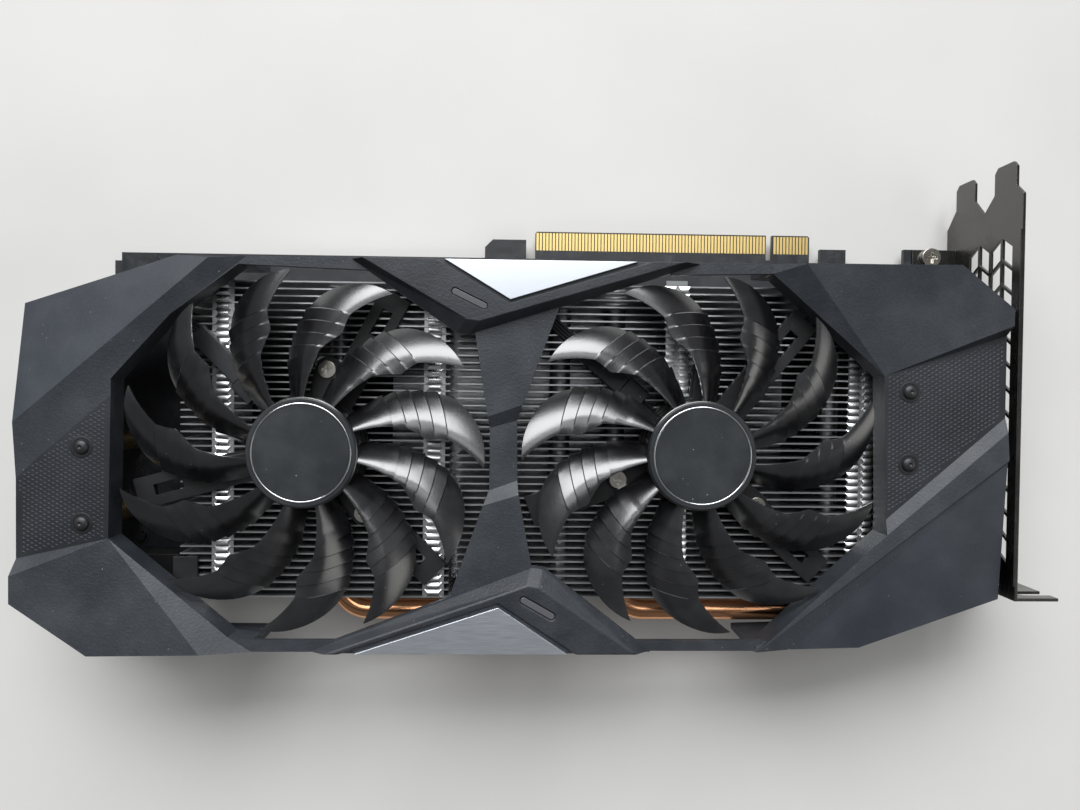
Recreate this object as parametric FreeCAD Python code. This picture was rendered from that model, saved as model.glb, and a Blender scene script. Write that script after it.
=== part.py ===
import FreeCAD, Part

import math
import os

# Dual-fan graphics card lying on its backplate, in millimetres.
# +X points to the mounting bracket, +Y to the edge contacts, +Z up through the fans.
# The origin is at the centre of the bottom of the bounding box.

Vector = FreeCAD.Vector
UP = Vector(0, 0, 1)

# ---------------------------------------------------------------- driving sizes
TIP_RADIUS = 48.5            # radius swept by the blade tips
BRIDGE_GAP = 9.8             # gap between the two swept circles
LEFT_PANEL = 26.1            # swept circle to the left end of the shroud
RIGHT_PANEL = 34.85          # swept circle to the right end of the shroud
TOP_RIM = 3.4                # swept circle to the contact side of the shroud
BOTTOM_RIM = 5.0             # swept circle to the far side of the shroud
BRACKET_GAP = 2.7            # shroud end to the inner face of the bracket
BRACKET_THICKNESS = 0.85
FLANGE_REACH = 11.4          # flange beyond the outer face of the bracket
TONGUE_RISE = 29.7           # shroud side to the tips of the bracket tongues

BACKPLATE_THICKNESS = 1.2
BACKPLATE_GAP = 1.5          # backplate to circuit board
BOARD_THICKNESS = 1.6
BASE_LIFT = 2.9              # board to the underside of the base plate
BASE_THICKNESS = 2.8
FIN_HEIGHT = 16.0
SPIDER_THICKNESS = 2.2
MOTOR_BASE_THICKNESS = 1.2
BLADE_LIFT = 1.2             # motor base to the lowest edge of the blades
BLADE_HEIGHT = 7.6
HUB_CAP_THICKNESS = 0.8
WING_HEIGHT = 3.4            # wing trims above the deck of the shroud
DECK_DROP = 1.0              # deck of the shroud below the top of the blades
ROOF_THICKNESS = 2.0
WALL_THICKNESS = 1.6
RIM_DEPTH = 7.7              # depth of the wall round each fan opening

# ---------------------------------------------------------------- places along X and Y
TOTAL_X = (LEFT_PANEL + RIGHT_PANEL + 4 * TIP_RADIUS + BRIDGE_GAP
           + BRACKET_GAP + BRACKET_THICKNESS + FLANGE_REACH)
TOTAL_Y = TOP_RIM + BOTTOM_RIM + 2 * TIP_RADIUS + TONGUE_RISE
LEFT_END = -TOTAL_X / 2
FAR_SIDE = -TOTAL_Y / 2
FAN_Y = FAR_SIDE + BOTTOM_RIM + TIP_RADIUS
CONTACT_SIDE = FAN_Y + TIP_RADIUS + TOP_RIM
TONGUE_TIP = CONTACT_SIDE + TONGUE_RISE
LEFT_FAN_X = LEFT_END + LEFT_PANEL + TIP_RADIUS
RIGHT_FAN_X = LEFT_FAN_X + 2 * TIP_RADIUS + BRIDGE_GAP
MIDDLE_X = (LEFT_FAN_X + RIGHT_FAN_X) / 2
RIGHT_END = RIGHT_FAN_X + TIP_RADIUS + RIGHT_PANEL
BRACKET_IN = RIGHT_END + BRACKET_GAP
BRACKET_OUT = BRACKET_IN + BRACKET_THICKNESS

# ---------------------------------------------------------------- heights
BOARD_LOW = BACKPLATE_THICKNESS + BACKPLATE_GAP
BOARD_TOP = BOARD_LOW + BOARD_THICKNESS
BASE_LOW = BOARD_TOP + BASE_LIFT
FIN_LOW = BASE_LOW + BASE_THICKNESS
FIN_TOP = FIN_LOW + FIN_HEIGHT
SPIDER_TOP = FIN_TOP + SPIDER_THICKNESS
MOTOR_BASE_TOP = SPIDER_TOP + MOTOR_BASE_THICKNESS
BLADE_LOW = MOTOR_BASE_TOP + BLADE_LIFT
BLADE_TOP = BLADE_LOW + BLADE_HEIGHT
CAP_TOP = BLADE_TOP + HUB_CAP_THICKNESS
DECK = BLADE_TOP - DECK_DROP
RIDGE = DECK + 1.6           # sloped end facets meet the deck bands along this height
WING_TOP = DECK + WING_HEIGHT
WALL_LOW = 16.0              # lower edge of the outer walls at both ends
RIM_LOW = DECK - RIM_DEPTH

# ---------------------------------------------------------------- fits
FIT = 0.1                    # gap round parts that drop into a pocket
BEARING_PLAY = 0.04          # radial play of the fan shaft in its sleeve
SCREW_PLAY = 0.2             # radial gap round a screw in a clearance hole

# ---------------------------------------------------------------- fan
BLADES = 11
HUB_RADIUS = 14.9
HUB_WALL = 1.1
YOKE_WALL = 0.9
MAGNET_WALL = 1.5
AIR_GAP = 0.5
CORE_SHARE = 20 / 63         # share of the stator's depth taken by its core
COIL_START = 7 / 13          # share of the room outside the core left clear of its coils
SHOE_HALF_ANGLE = 22
SHAFT_RADIUS = 1.5
BEARING_RADIUS = 3.4
TUBE_WALL = 1.0
BLADE_THICKNESS = 1.1
ROOT_CHORD = 5.0             # chords of a blade seen from above
BLADE_CHORD = 9.5
TIP_CHORD = 10.7
BLADE_SWEEP_LINEAR = 15.6    # degrees of sweep that grow evenly with the radius
BLADE_SWEEP_SQUARE = 12.4    # degrees of sweep that grow with its square
LEFT_BLADE_START = 32.3      # angle of a blade root, in degrees
RIGHT_BLADE_START = 14.0
MOTOR_SCREW_CIRCLE = 22.8    # radius of the motor screws' circle
MOTOR_SCREW_RADIUS = 1.3
MOTOR_HEAD_RADIUS = 2.4
LEFT_SCREW_ANGLES = (78.0, 192.0, 310.5)
RIGHT_SCREW_ANGLES = (83.0, 199.0, 320.4)
LEFT_ARM_ANGLES = (61.5, 195.0, 315.0)
RIGHT_ARM_ANGLES = (50.5, 200.0, 317.0)
LEFT_LEAD_ANGLE = 134.0
RIGHT_LEAD_ANGLE = 137.8
ARM_WIDTH = 8.6
ARM_REACH = 49.0             # fan axis to the ends of the arms
LEAD_DIAMETER = 1.8
LEAD_BEND = 7.0

# ---------------------------------------------------------------- heatsink
FIN_PITCH = 2.0
FIN_THICKNESS = 0.4
FIN_COUNT = 45
FIN_Y_LOW = FAN_Y - 41.5
FIN_Y_HIGH = FIN_Y_LOW + (FIN_COUNT - 1) * FIN_PITCH + FIN_THICKNESS
LEFT_FINS_START = LEFT_FAN_X - 36.4
FIN_STACK_GAP = 2.0
RIGHT_FINS_START = MIDDLE_X - 13.2
LEFT_FINS_END = RIGHT_FINS_START - FIN_STACK_GAP
RIGHT_FINS_END = RIGHT_FAN_X + 52.5
FOLD_WIDTH = 6.0             # width of the folded tabs that lock the fins together
FOLD_GAP = 0.1               # gap between a tab and the next fin
PIPE_RADIUS = 3.0
PIPE_PLAY = 0.18  # braze gap round a pipe in its fins
PIPE_BEND = 9.0
PIPE_HEIGHT = FIN_LOW + 8.0
PIPE_OUT_Y = FAR_SIDE + 6.8  # centre line of the stretch outside the fins
LEFT_PIPE_X = (LEFT_FAN_X + 6.0, MIDDLE_X + 16.0)
RIGHT_PIPE_X = (MIDDLE_X + 32.0, RIGHT_FAN_X + 41.5)
PIPE_END_Y = FIN_Y_HIGH - 6.0
BASE_X = (LEFT_FAN_X + 20.0, RIGHT_FAN_X + 30.5)
BASE_Y = (FIN_Y_LOW + 2.0, FIN_Y_HIGH - 2.0)

# ---------------------------------------------------------------- circuit board
BOARD_X = (LEFT_END + 12.0, BRACKET_IN - 1.1)
BOARD_Y = (FAR_SIDE + 8.05, CONTACT_SIDE + 5.6)
EDGE_Y = BOARD_Y[1] + 8.25   # tip of the edge contacts
KEY_X = BRACKET_OUT - 59.2   # centre of the key notch
KEY_WIDTH = 1.9
LONG_TAB = 71.35
SHORT_TAB = 11.65
CONTACT_PITCH = 1.0
CONTACT_WIDTH = 0.7
CONTACT_LENGTH = 5.3
CONTACT_THICKNESS = 0.1
LONG_CONTACTS = 71
SHORT_CONTACTS = 11
HOOK_TAB = 12.6
HOOK_GAP = 2.8
HOOK_RISE = 5.7
GPU_X = MIDDLE_X + 25.0
GPU_Y = FAN_Y + 4.0
PACKAGE_SIDE = 37.5
PACKAGE_HEIGHT = 1.7
DIE_SIDE = 20.0
DIE_HEIGHT = 0.8
COLD_PLATE_SIDE = 40.0
MEMORY_LENGTH = 14.0
MEMORY_WIDTH = 12.0
MEMORY_HEIGHT = 1.2
SPRING_SCREW_SPACING = 52.0
STANDOFF_RADIUS = 2.6
SHROUD_SCREW_RADIUS = 1.3
SHROUD_HEAD_RADIUS = 1.9
HEAD_HEIGHT = 1.2

# ---------------------------------------------------------------- bracket
BRACKET_WIDTH = 38.74        # two slots wide
SLOT_PITCH = 20.32
TONGUE_WIDTH = 10.2
TONGUE_START = 5.0           # first tongue from the lower edge
SHOULDER_DROP = 7.5          # tongue tips to the shoulders
FLANGE_Y = FAR_SIDE + 15.4   # outer face of the flange fold
NOTCH_WIDTH = 4.42
NOTCH_DEPTH = 6.6
VENT_STRIP = 5.6
VENT_STRIPS = 4
VENT_PITCH = 6.8
VENT_ROWS = 13
VENT_WALL = 1.0
VENT_SLANT = 2.8
VENT_START_Z = 12.4
LIP_HEIGHT = 1.5
LIP_DEPTH = 0.45
DISPLAY_WIDTH = 16.9         # outside of a DisplayPort shell
DISPLAY_HEIGHT = 5.9
HDMI_WIDTH = 15.2
HDMI_HEIGHT = 5.7
SOCKET_DEPTH = 16.0
SOCKET_WALL = 0.45
SOCKET_PROUD = 0.5           # sockets stand this far out of the bracket
TONGUE_PLASTIC = 1.1


# ---------------------------------------------------------------- small helpers
def box(x, y, z):
    """Block between two limits along each axis."""
    return Part.makeBox(x[1] - x[0], y[1] - y[0], z[1] - z[0], Vector(x[0], y[0], z[0]))


def centred_box(centre, size, z):
    """Block of a size (x, y) centred on a point of the plan."""
    half_x, half_y = size[0] / 2, size[1] / 2
    return box((centre[0] - half_x, centre[0] + half_x), (centre[1] - half_y, centre[1] + half_y), z)


def cylinder(centre, radius, z):
    """Upright cylinder."""
    return Part.makeCylinder(radius, z[1] - z[0], Vector(centre[0], centre[1], z[0]), UP)


def ring(centre, outer, inner, z):
    """Upright tube."""
    return cylinder(centre, outer, z).cut(cylinder(centre, inner, z))


def prism(outline, z):
    """Upright prism over a polygon of plan points."""
    points = [Vector(x, y, z[0]) for x, y in outline]
    face = Part.Face(Part.makePolygon(points + points[:1]))
    return face.extrude(Vector(0, 0, z[1] - z[0]))


def joined(solids):
    """One solid from several that overlap or share faces."""
    first, rest = solids[0], solids[1:]
    return first.fuse(rest).removeSplitter() if rest else first


def polar(centre, radius, degrees):
    """Plan point at a distance and angle from another."""
    angle = math.radians(degrees)
    return (centre[0] + radius * math.cos(angle), centre[1] + radius * math.sin(angle))


def turned(shape, centre, degrees):
    """Copy turned about an upright axis."""
    copy = shape.copy()
    copy.rotate(Vector(centre[0], centre[1], 0), UP, degrees)
    return copy


def closed_solid(faces):
    """Solid from a closed set of faces, turned outside out."""
    solid = Part.Solid(Part.Shell(faces))
    if solid.Volume < 0:
        solid.reverse()
    return solid


def polygon_face(points):
    """Flat face through a list of points."""
    return Part.Face(Part.makePolygon(list(points) + [points[0]]))


def slab(corners, thickness):
    """Folded plate: its top is a fan of triangles from the first corner, its sides are upright."""
    top = [Vector(*corner) for corner in corners]
    low = [point - UP * thickness for point in top]
    faces = []
    for i in range(1, len(top) - 1):
        faces.append(polygon_face([top[0], top[i], top[i + 1]]))
        faces.append(polygon_face([low[0], low[i + 1], low[i]]))
    for i in range(len(top)):
        j = (i + 1) % len(top)
        faces.append(polygon_face([top[i], top[j], low[j], low[i]]))
    return closed_solid(faces)


def frustum(foot, top, foot_z, top_z):
    """Solid between two polygons with the same number of corners."""
    low = [Vector(x, y, foot_z) for x, y in foot]
    high = [Vector(x, y, top_z) for x, y in top]
    faces = [polygon_face(low), polygon_face(high)]
    for i in range(len(low)):
        j = (i + 1) % len(low)
        faces.append(polygon_face([low[i], low[j], high[j]]))
        faces.append(polygon_face([low[i], high[j], high[i]]))
    return closed_solid(faces)


def unit(start, end):
    """Direction from one plan point to another."""
    run = math.hypot(end[0] - start[0], end[1] - start[1])
    return ((end[0] - start[0]) / run, (end[1] - start[1]) / run)


def mitred(points, distance):
    """Open or closed line moved to its left by a distance; a closed line repeats its first point."""
    closed = points[0] == points[-1]
    moved = []
    for i, here in enumerate(points):
        before = points[i - 1] if i else (points[-2] if closed else None)
        after = points[i + 1] if i < len(points) - 1 else (points[1] if closed else None)
        ways = []
        if before:
            ways.append(unit(before, here))
        if after:
            ways.append(unit(here, after))
        normals = [(-way[1], way[0]) for way in ways]
        total = (sum(n[0] for n in normals), sum(n[1] for n in normals))
        square = total[0] ** 2 + total[1] ** 2
        reach = distance * 2 / square if len(ways) == 2 else distance
        moved.append((here[0] + total[0] * reach, here[1] + total[1] * reach))
    return moved


def wall(corners, thickness, low):
    """Upright walls under a line of (x, y, z) corners, thickness to the left of the line."""
    plan = [(corner[0], corner[1]) for corner in corners]
    inside = mitred(plan, thickness)
    solids = []
    for i in range(len(plan) - 1):
        tops = (corners[i][2], corners[i + 1][2], corners[i + 1][2], corners[i][2])
        foot = [plan[i], plan[i + 1], inside[i + 1], inside[i]]
        top = [Vector(p[0], p[1], z - ROOF_THICKNESS / 2) for p, z in zip(foot, tops)]
        base = [Vector(p[0], p[1], low) for p in foot]
        faces = [polygon_face([top[0], top[1], top[2]]), polygon_face([top[0], top[2], top[3]])]
        faces.append(polygon_face(base))
        for j in range(4):
            k = (j + 1) % 4
            faces.append(polygon_face([base[j], base[k], top[k], top[j]]))
        solids.append(closed_solid(faces))
    return solids


def crossing(first, second):
    """Point where two lines cross; each is (point, direction)."""
    (ax, ay), (ux, uy) = first
    (bx, by), (vx, vy) = second
    reach = ((bx - ax) * vy - (by - ay) * vx) / (ux * vy - uy * vx)
    return (ax + reach * ux, ay + reach * uy)


def tangent(fan_x, normal, distance):
    """Line at a distance from a fan axis, as (point, direction)."""
    angle = math.radians(normal)
    return (polar((fan_x, FAN_Y), distance, normal), (-math.sin(angle), math.cos(angle)))


def level(y):
    """Line along X at a height of the plan."""
    return ((0.0, y), (1.0, 0.0))


def raised(point, z):
    """Plan point with its height."""
    return (point[0], point[1], z)


def rounded_path(points, bend):
    """Wire of straight runs joined by tangent arcs of one radius."""
    points = [Vector(*point) for point in points]
    edges = []
    start = points[0]
    for i in range(1, len(points) - 1):
        corner = points[i]
        back = (points[i - 1] - corner).normalize()
        ahead = (points[i + 1] - corner).normalize()
        half = back.getAngle(ahead) / 2
        reach = bend / math.tan(half)
        bisector = (back + ahead).normalize()
        middle = corner + bisector * (bend / math.sin(half) - bend)
        edges.append(Part.LineSegment(start, corner + back * reach).toShape())
        edges.append(Part.Arc(corner + back * reach, middle, corner + ahead * reach).toShape())
        start = corner + ahead * reach
    edges.append(Part.LineSegment(start, points[-1]).toShape())
    return Part.Wire(edges)


def tube_along(points, bend, radius):
    """Round rod along straight runs and arcs."""
    path = rounded_path(points, bend)
    start = Vector(*points[0])
    heading = Vector(*points[1]) - start
    profile = Part.Wire(Part.makeCircle(radius, start, heading))
    return path.makePipeShell([profile], True, False)


# ---------------------------------------------------------------- shroud corners
def opening(fan_x, polar_corners):
    """Corners of a fan opening: (angle, distance beyond the blade tips) about the fan axis."""
    return [polar((fan_x, FAN_Y), TIP_RADIUS + beyond, degrees) for degrees, beyond in polar_corners]


def bridge_half(rise, inset):
    """Half width of the bridge at a height from the fan axes, an inset away from the swept circle."""
    return BRIDGE_GAP / 2 + TIP_RADIUS - math.sqrt(TIP_RADIUS ** 2 - rise ** 2) - inset


def bridge_row(left_rise, left_inset, right_rise, right_inset, z):
    """Left and right corner of one cross line of the bridge."""
    left = (MIDDLE_X - bridge_half(left_rise, left_inset), FAN_Y + left_rise, z)
    right = (MIDDLE_X + bridge_half(right_rise, right_inset), FAN_Y + right_rise, z)
    return left, right


UPPER_SIDE = CONTACT_SIDE - 0.4
LOWER_SIDE = FAR_SIDE + 0.4
APEX_FLAT = 1.8
BAR_DEPTH = 2.0


def wing_outline(left_line, right_line, side):
    """Trapezium of a wing: two lines that lean on the fans, cut by the shroud side and a short apex flat."""
    left = tangent(LEFT_FAN_X, *left_line)
    right = tangent(RIGHT_FAN_X, *right_line)
    apex = crossing(left, right)
    left_end = crossing(left, level(side))
    right_end = crossing(right, level(side))
    to_left = unit(apex, left_end)
    to_right = unit(apex, right_end)
    apex_left = (apex[0] + to_left[0] * APEX_FLAT, apex[1] + to_left[1] * APEX_FLAT)
    apex_right = (apex[0] + to_right[0] * APEX_FLAT, apex[1] + to_right[1] * APEX_FLAT)
    return [left_end, apex_left, apex_right, right_end]


UPPER_FOOT = wing_outline((55.6, TIP_RADIUS + 1.1), (107.5, TIP_RADIUS + 0.8), UPPER_SIDE)
UPPER_TOP = wing_outline((60.1, TIP_RADIUS + 4.1), (106.6, TIP_RADIUS + 2.4), UPPER_SIDE)
LOWER_FOOT = wing_outline((-69.1, TIP_RADIUS + 1.6), (-127.8, TIP_RADIUS + 1.6), LOWER_SIDE)
LOWER_TOP = wing_outline((-71.1, TIP_RADIUS + 3.8), (-124.4, TIP_RADIUS + 5.1), LOWER_SIDE)


def left_end_facets():
    """Roof plates of the left end and the corners of its opening and outline."""
    top, high, low_in, low_out, foot = opening(
        LEFT_FAN_X, ((108.8, 4.0), (133.6, 1.7), (159.1, 5.1), (204.6, 7.3), (248.6, 4.6)))
    knurl_in = (low_in[0], low_in[1] - 4.4)
    ridge_top = (LEFT_FAN_X - 24.3, CONTACT_SIDE - 0.8, RIDGE)
    ridge_end = (LEFT_END, FAN_Y + 7.4, RIDGE)
    outer_top = (LEFT_FAN_X - 32.8, CONTACT_SIDE, DECK)
    outer_corner = (LEFT_END, CONTACT_SIDE - 12.9, DECK - 4.2)
    rim_top = raised(top, DECK)
    bar_start = (top[0] + 2.2, CONTACT_SIDE, DECK)
    band_low = (LEFT_END + 4.6, FAN_Y - 2.8, DECK)
    band_end = (LEFT_END, FAN_Y - 7.6, DECK)
    knurl_end = (LEFT_END, FAN_Y - 28.6, DECK)
    raised_top = (LEFT_END, FAN_Y - 32.6, WING_TOP)
    raised_side = (LEFT_END, FAR_SIDE + 13.7, WING_TOP)
    raised_low = (LEFT_END + 19.8, FAR_SIDE, WING_TOP)
    raised_right = (LEFT_FAN_X - 25.8, FAR_SIDE + 0.3, WING_TOP)
    bar_low = (foot[0] + 6.2, FAR_SIDE + 0.2, DECK)
    bar_in = (foot[0] + 6.2, FAR_SIDE + WALL_THICKNESS * 2, DECK)
    deck_foot = raised(foot, DECK)
    plates = [
        [ridge_top, outer_top, outer_corner, ridge_end],
        [raised(high, DECK), rim_top, bar_start, ridge_top, ridge_end],
        [ridge_end, band_end, band_low, raised(knurl_in, DECK), raised(low_in, DECK), raised(high, DECK)],
        [raised(low_out, DECK), raised(knurl_in, DECK), band_low, band_end, knurl_end],
        [raised(low_out, DECK), knurl_end, raised_top],
        [raised(low_out, DECK), raised_top, raised_side, raised_low, raised_right, deck_foot],
        [deck_foot, raised_right, bar_low, bar_in],
    ]
    inner = [raised(p, DECK) for p in (low_in, low_out, foot)]
    outline = [bar_start, outer_top, outer_corner, ridge_end, band_end, knurl_end, raised_top, raised_side,
               raised_low, raised_right, bar_low]
    return plates, [rim_top, raised(high, DECK)] + inner + [bar_in], outline


def right_end_facets():
    """Roof plates of the right end and the corners of its opening and outline."""
    tip, step, low, rim, foot = opening(
        RIGHT_FAN_X, ((69.1, 4.2), (23.9, 6.0), (-18.5, 5.1), (-22.6, 6.3), (-73.1, 6.6)))
    facet_tip = raised(tip, DECK)
    bar_end = (tip[0], CONTACT_SIDE, DECK)
    facet_top = (tip[0] + 8.1, CONTACT_SIDE - 0.3, WING_TOP)
    facet_side = (RIGHT_END - 14.4, CONTACT_SIDE, WING_TOP)
    facet_corner = (RIGHT_END, CONTACT_SIDE - 11.6, WING_TOP)
    facet_low = (RIGHT_END, FAN_Y + 35.8, WING_TOP)
    knurl_top = (RIGHT_END, FAN_Y + 33.4, DECK)
    knurl_low = (RIGHT_END, FAN_Y + 11.0, DECK)
    knurl_cut = (RIGHT_END - 7.6, FAN_Y + 4.7, DECK)
    band_top = (RIGHT_END, FAN_Y + 7.0, RIDGE)
    ridge_end = (RIGHT_END, FAN_Y - 0.5, RIDGE + 0.8)
    ridge_low = (foot[0] - 0.4, FAR_SIDE + 0.6, RIDGE)
    strip_low = (foot[0] + 9.0, FAR_SIDE + 0.9, DECK)
    outer_low = (foot[0] + 28.2, FAR_SIDE + 1.2, DECK - 0.6)
    outer_corner = (RIGHT_END, FAR_SIDE + 14.4, DECK - 1.6)
    strip_end = (RIGHT_END, FAN_Y - 1.2, RIDGE)
    bar_low = (foot[0] - 1.6, FAR_SIDE + 0.5, DECK)
    rim_corner = raised(rim, RIDGE)
    rim_run = (ridge_low[0] - rim[0], ridge_low[1] - rim[1])
    bar_in = raised(crossing((rim, rim_run), level(FAR_SIDE + WALL_THICKNESS * 2)), DECK)
    rim_start = raised(crossing((rim, rim_run), level(FAR_SIDE + WALL_THICKNESS)), RIDGE)
    plates = [
        [raised(step, DECK), facet_low, facet_corner, facet_side, facet_top, facet_tip],
        [facet_tip, facet_top, bar_end],
        [raised(step, DECK), knurl_top, facet_low],
        [raised(step, DECK), raised(low, DECK), knurl_cut, knurl_low, knurl_top],
        [raised(low, DECK), rim_corner, band_top, knurl_low, knurl_cut],
        [rim_corner, ridge_low, ridge_end, band_top],
        [ridge_low, strip_low, strip_end, ridge_end],
        [strip_low, outer_low, outer_corner, strip_end],
        [ridge_low, bar_in, bar_low],
    ]
    inner = [rim_start, rim_corner, raised(low, DECK), raised(step, DECK), facet_tip]
    outline = [bar_low, ridge_low, strip_low, outer_low, outer_corner, strip_end, ridge_end, band_top, knurl_low,
               knurl_top, facet_low, facet_corner, facet_side, facet_top, bar_end]
    return plates, inner, outline, [bar_low, bar_in]


def bridge_plates():
    """Roof plates of the bridge between the fans, sunk in the middle."""
    rows = [
        bridge_row(TIP_RADIUS - 14.5, 10.7, TIP_RADIUS - 7.0, 12.9, DECK),
        bridge_row(10.0, 1.7, 13.2, 1.7, DECK),
        bridge_row(6.9, 1.7, 9.0, 2.1, DECK - BAR_DEPTH),
        bridge_row(-10.0, 2.2, -7.3, 1.6, DECK - BAR_DEPTH),
        bridge_row(-13.9, 1.6, -11.0, 2.0, DECK),
        bridge_row(6.5 - TIP_RADIUS, 13.8, 15.5 - TIP_RADIUS, 9.5, DECK),
    ]
    return [[a[0], b[0], b[1], a[1]] for a, b in zip(rows, rows[1:])]


def wing_base(foot, side):
    """Deck plate that a wing trim lies on."""
    ends = (foot[0], foot[3])
    edge = [(ends[1][0], side), (ends[0][0], side)]
    return [raised(point, DECK) for point in foot + edge]


def shroud_bars(left_inner, right_inner, right_foot):
    """Narrow rims that carry the deck past the fans, from the end panels to the wings."""
    upper_in = CONTACT_SIDE - TOP_RIM
    lower_in = FAR_SIDE + WALL_THICKNESS * 2
    reach = 8.0
    left_top = left_inner[0]
    right_top = right_inner[-1]
    return [
        [left_top, (UPPER_FOOT[0][0] + reach, upper_in, DECK), (UPPER_FOOT[0][0] + reach, CONTACT_SIDE, DECK),
         (left_top[0] + 2.2, CONTACT_SIDE, DECK)],
        [(UPPER_FOOT[3][0] - reach, CONTACT_SIDE, DECK), (UPPER_FOOT[3][0] - reach, upper_in, DECK), right_top,
         (right_top[0], CONTACT_SIDE, DECK)],
        [raised((left_inner[-1][0], FAR_SIDE + 0.2), DECK), (LOWER_FOOT[0][0] + reach, FAR_SIDE + 0.2, DECK),
         (LOWER_FOOT[0][0] + reach, lower_in, DECK), left_inner[-1]],
        [(LOWER_FOOT[3][0] - reach, right_foot[0][1], DECK)] + right_foot
        + [(LOWER_FOOT[3][0] - reach, lower_in, DECK)],
    ]


def shroud_screw_places():
    """Centres of the four screws through the end panels."""
    left = [(LEFT_END + 17.0, FAN_Y + 1.0), (LEFT_END + 17.0, FAN_Y - 19.2)]
    right = [(RIGHT_END - 26.5, FAN_Y + 17.8), (RIGHT_END - 26.5, FAN_Y - 1.9)]
    return left + right


def make_shroud():
    """Folded roof, outer walls at both ends, a wall round each fan opening and the screw holes."""
    left_plates, left_inner, left_outline = left_end_facets()
    right_plates, right_inner, right_outline, right_foot = right_end_facets()
    plates = left_plates + right_plates + bridge_plates() + shroud_bars(left_inner, right_inner, right_foot)
    plates += [wing_base(UPPER_FOOT, CONTACT_SIDE - 0.05), wing_base(LOWER_FOOT, FAR_SIDE + 0.25)]
    solids = [slab(corners, ROOF_THICKNESS) for corners in plates]
    solids += wall(left_outline, WALL_THICKNESS, WALL_LOW)
    solids += wall(right_outline, WALL_THICKNESS, WALL_LOW)
    solids += wall(left_inner[::-1], WALL_THICKNESS, RIM_LOW)
    solids += wall(right_inner[::-1], WALL_THICKNESS, RIM_LOW)
    shroud = joined(solids)
    for place in shroud_screw_places():
        hole = SHROUD_SCREW_RADIUS + SCREW_PLAY
        shroud = shroud.cut(cylinder(place, hole, (RIM_LOW, WING_TOP)))
    return shroud


# ---------------------------------------------------------------- trims on the shroud
INLAY_DEPTH = 1.0
INLAY_GAP = 0.8
SLOT_LENGTH = 10.4
SLOT_WIDTH = 1.9
SLOT_DEPTH = 1.2
UPPER_INLAY = [(MIDDLE_X - 15.9, UPPER_SIDE - FIT), (MIDDLE_X + 1.5, FAN_Y + 41.0), (MIDDLE_X + 35.2, UPPER_SIDE - FIT)]
LOWER_INLAY = [(MIDDLE_X - 39.2, LOWER_SIDE + FIT), (MIDDLE_X - 0.9, FAN_Y - 40.5), (MIDDLE_X + 17.6, LOWER_SIDE + FIT)]
UPPER_SLOT = ((MIDDLE_X - 9.2, FAN_Y + 41.1), -25.8)
LOWER_SLOT = ((MIDDLE_X + 9.5, FAN_Y - 40.7), -29.7)


def inlay_recess(corners):
    """Outline of the pocket round an inlay, open at the side of the shroud."""
    left, apex, right = corners
    outward = math.copysign(3.0, left[1] - apex[1])
    to_left, to_right = unit(apex, left), unit(apex, right)
    apex_out = (apex[0], apex[1] - math.copysign(INLAY_GAP, outward) * 1.2)
    reach_left = (left[1] + outward - apex_out[1]) / to_left[1]
    reach_right = (right[1] + outward - apex_out[1]) / to_right[1]
    far_left = (apex_out[0] + to_left[0] * reach_left - INLAY_GAP, left[1] + outward)
    far_right = (apex_out[0] + to_right[0] * reach_right + INLAY_GAP, right[1] + outward)
    return [far_left, apex_out, far_right]


def slot_bar(place, shrink, z):
    """Bar with round ends, for the light slot of a wing or the insert that fills it."""
    centre, degrees = place
    width = SLOT_WIDTH - 2 * shrink
    half = (SLOT_LENGTH - SLOT_WIDTH) / 2
    middle = centred_box(centre, (2 * half, width), z)
    ends = [cylinder((centre[0] + way * half, centre[1]), width / 2, z) for way in (-1, 1)]
    return turned(joined([middle] + ends), centre, degrees)


def make_wing(foot, top, inlay, slot):
    """Sloped trim with a pocket for its metal inlay and a slot for its insert."""
    wing = frustum(foot, top, DECK, WING_TOP)
    wing = wing.cut(prism(inlay_recess(inlay), (WING_TOP - INLAY_DEPTH, WING_TOP + 1)))
    return wing.cut(slot_bar(slot, 0.0, (WING_TOP - SLOT_DEPTH, WING_TOP + 1)))


def make_inlay(corners):
    """Thin triangular metal plate lying in its pocket."""
    return prism(corners, (WING_TOP - INLAY_DEPTH, WING_TOP - FIT))


def make_slot_inserts():
    """Smoked bars that fill the two slots."""
    z = (WING_TOP - SLOT_DEPTH, WING_TOP - 2 * FIT)
    return [slot_bar(place, FIT, z) for place in (UPPER_SLOT, LOWER_SLOT)]


def make_shroud_screws():
    """Domed screws through the end panels into their standoffs."""
    screws = []
    for x, y in shroud_screw_places():
        head = cylinder((x, y), SHROUD_HEAD_RADIUS, (DECK, DECK + HEAD_HEIGHT / 2))
        dome = Part.makeCone(SHROUD_HEAD_RADIUS, SHROUD_HEAD_RADIUS * 0.6, HEAD_HEIGHT / 2,
                             Vector(x, y, DECK + HEAD_HEIGHT / 2), UP)
        shank = cylinder((x, y), SHROUD_SCREW_RADIUS, (DECK - ROOF_THICKNESS - 4, DECK))
        screws.append(joined([head, dome, shank]))
    return screws


def make_standoffs():
    """Round posts from the board to the underside of the shroud, drilled for the screws."""
    top = DECK - ROOF_THICKNESS
    posts = []
    for place in shroud_screw_places():
        post = cylinder(place, STANDOFF_RADIUS, (BOARD_TOP, top))
        posts.append(post.cut(cylinder(place, SHROUD_SCREW_RADIUS, (top - 4, top))))
    return posts


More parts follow.
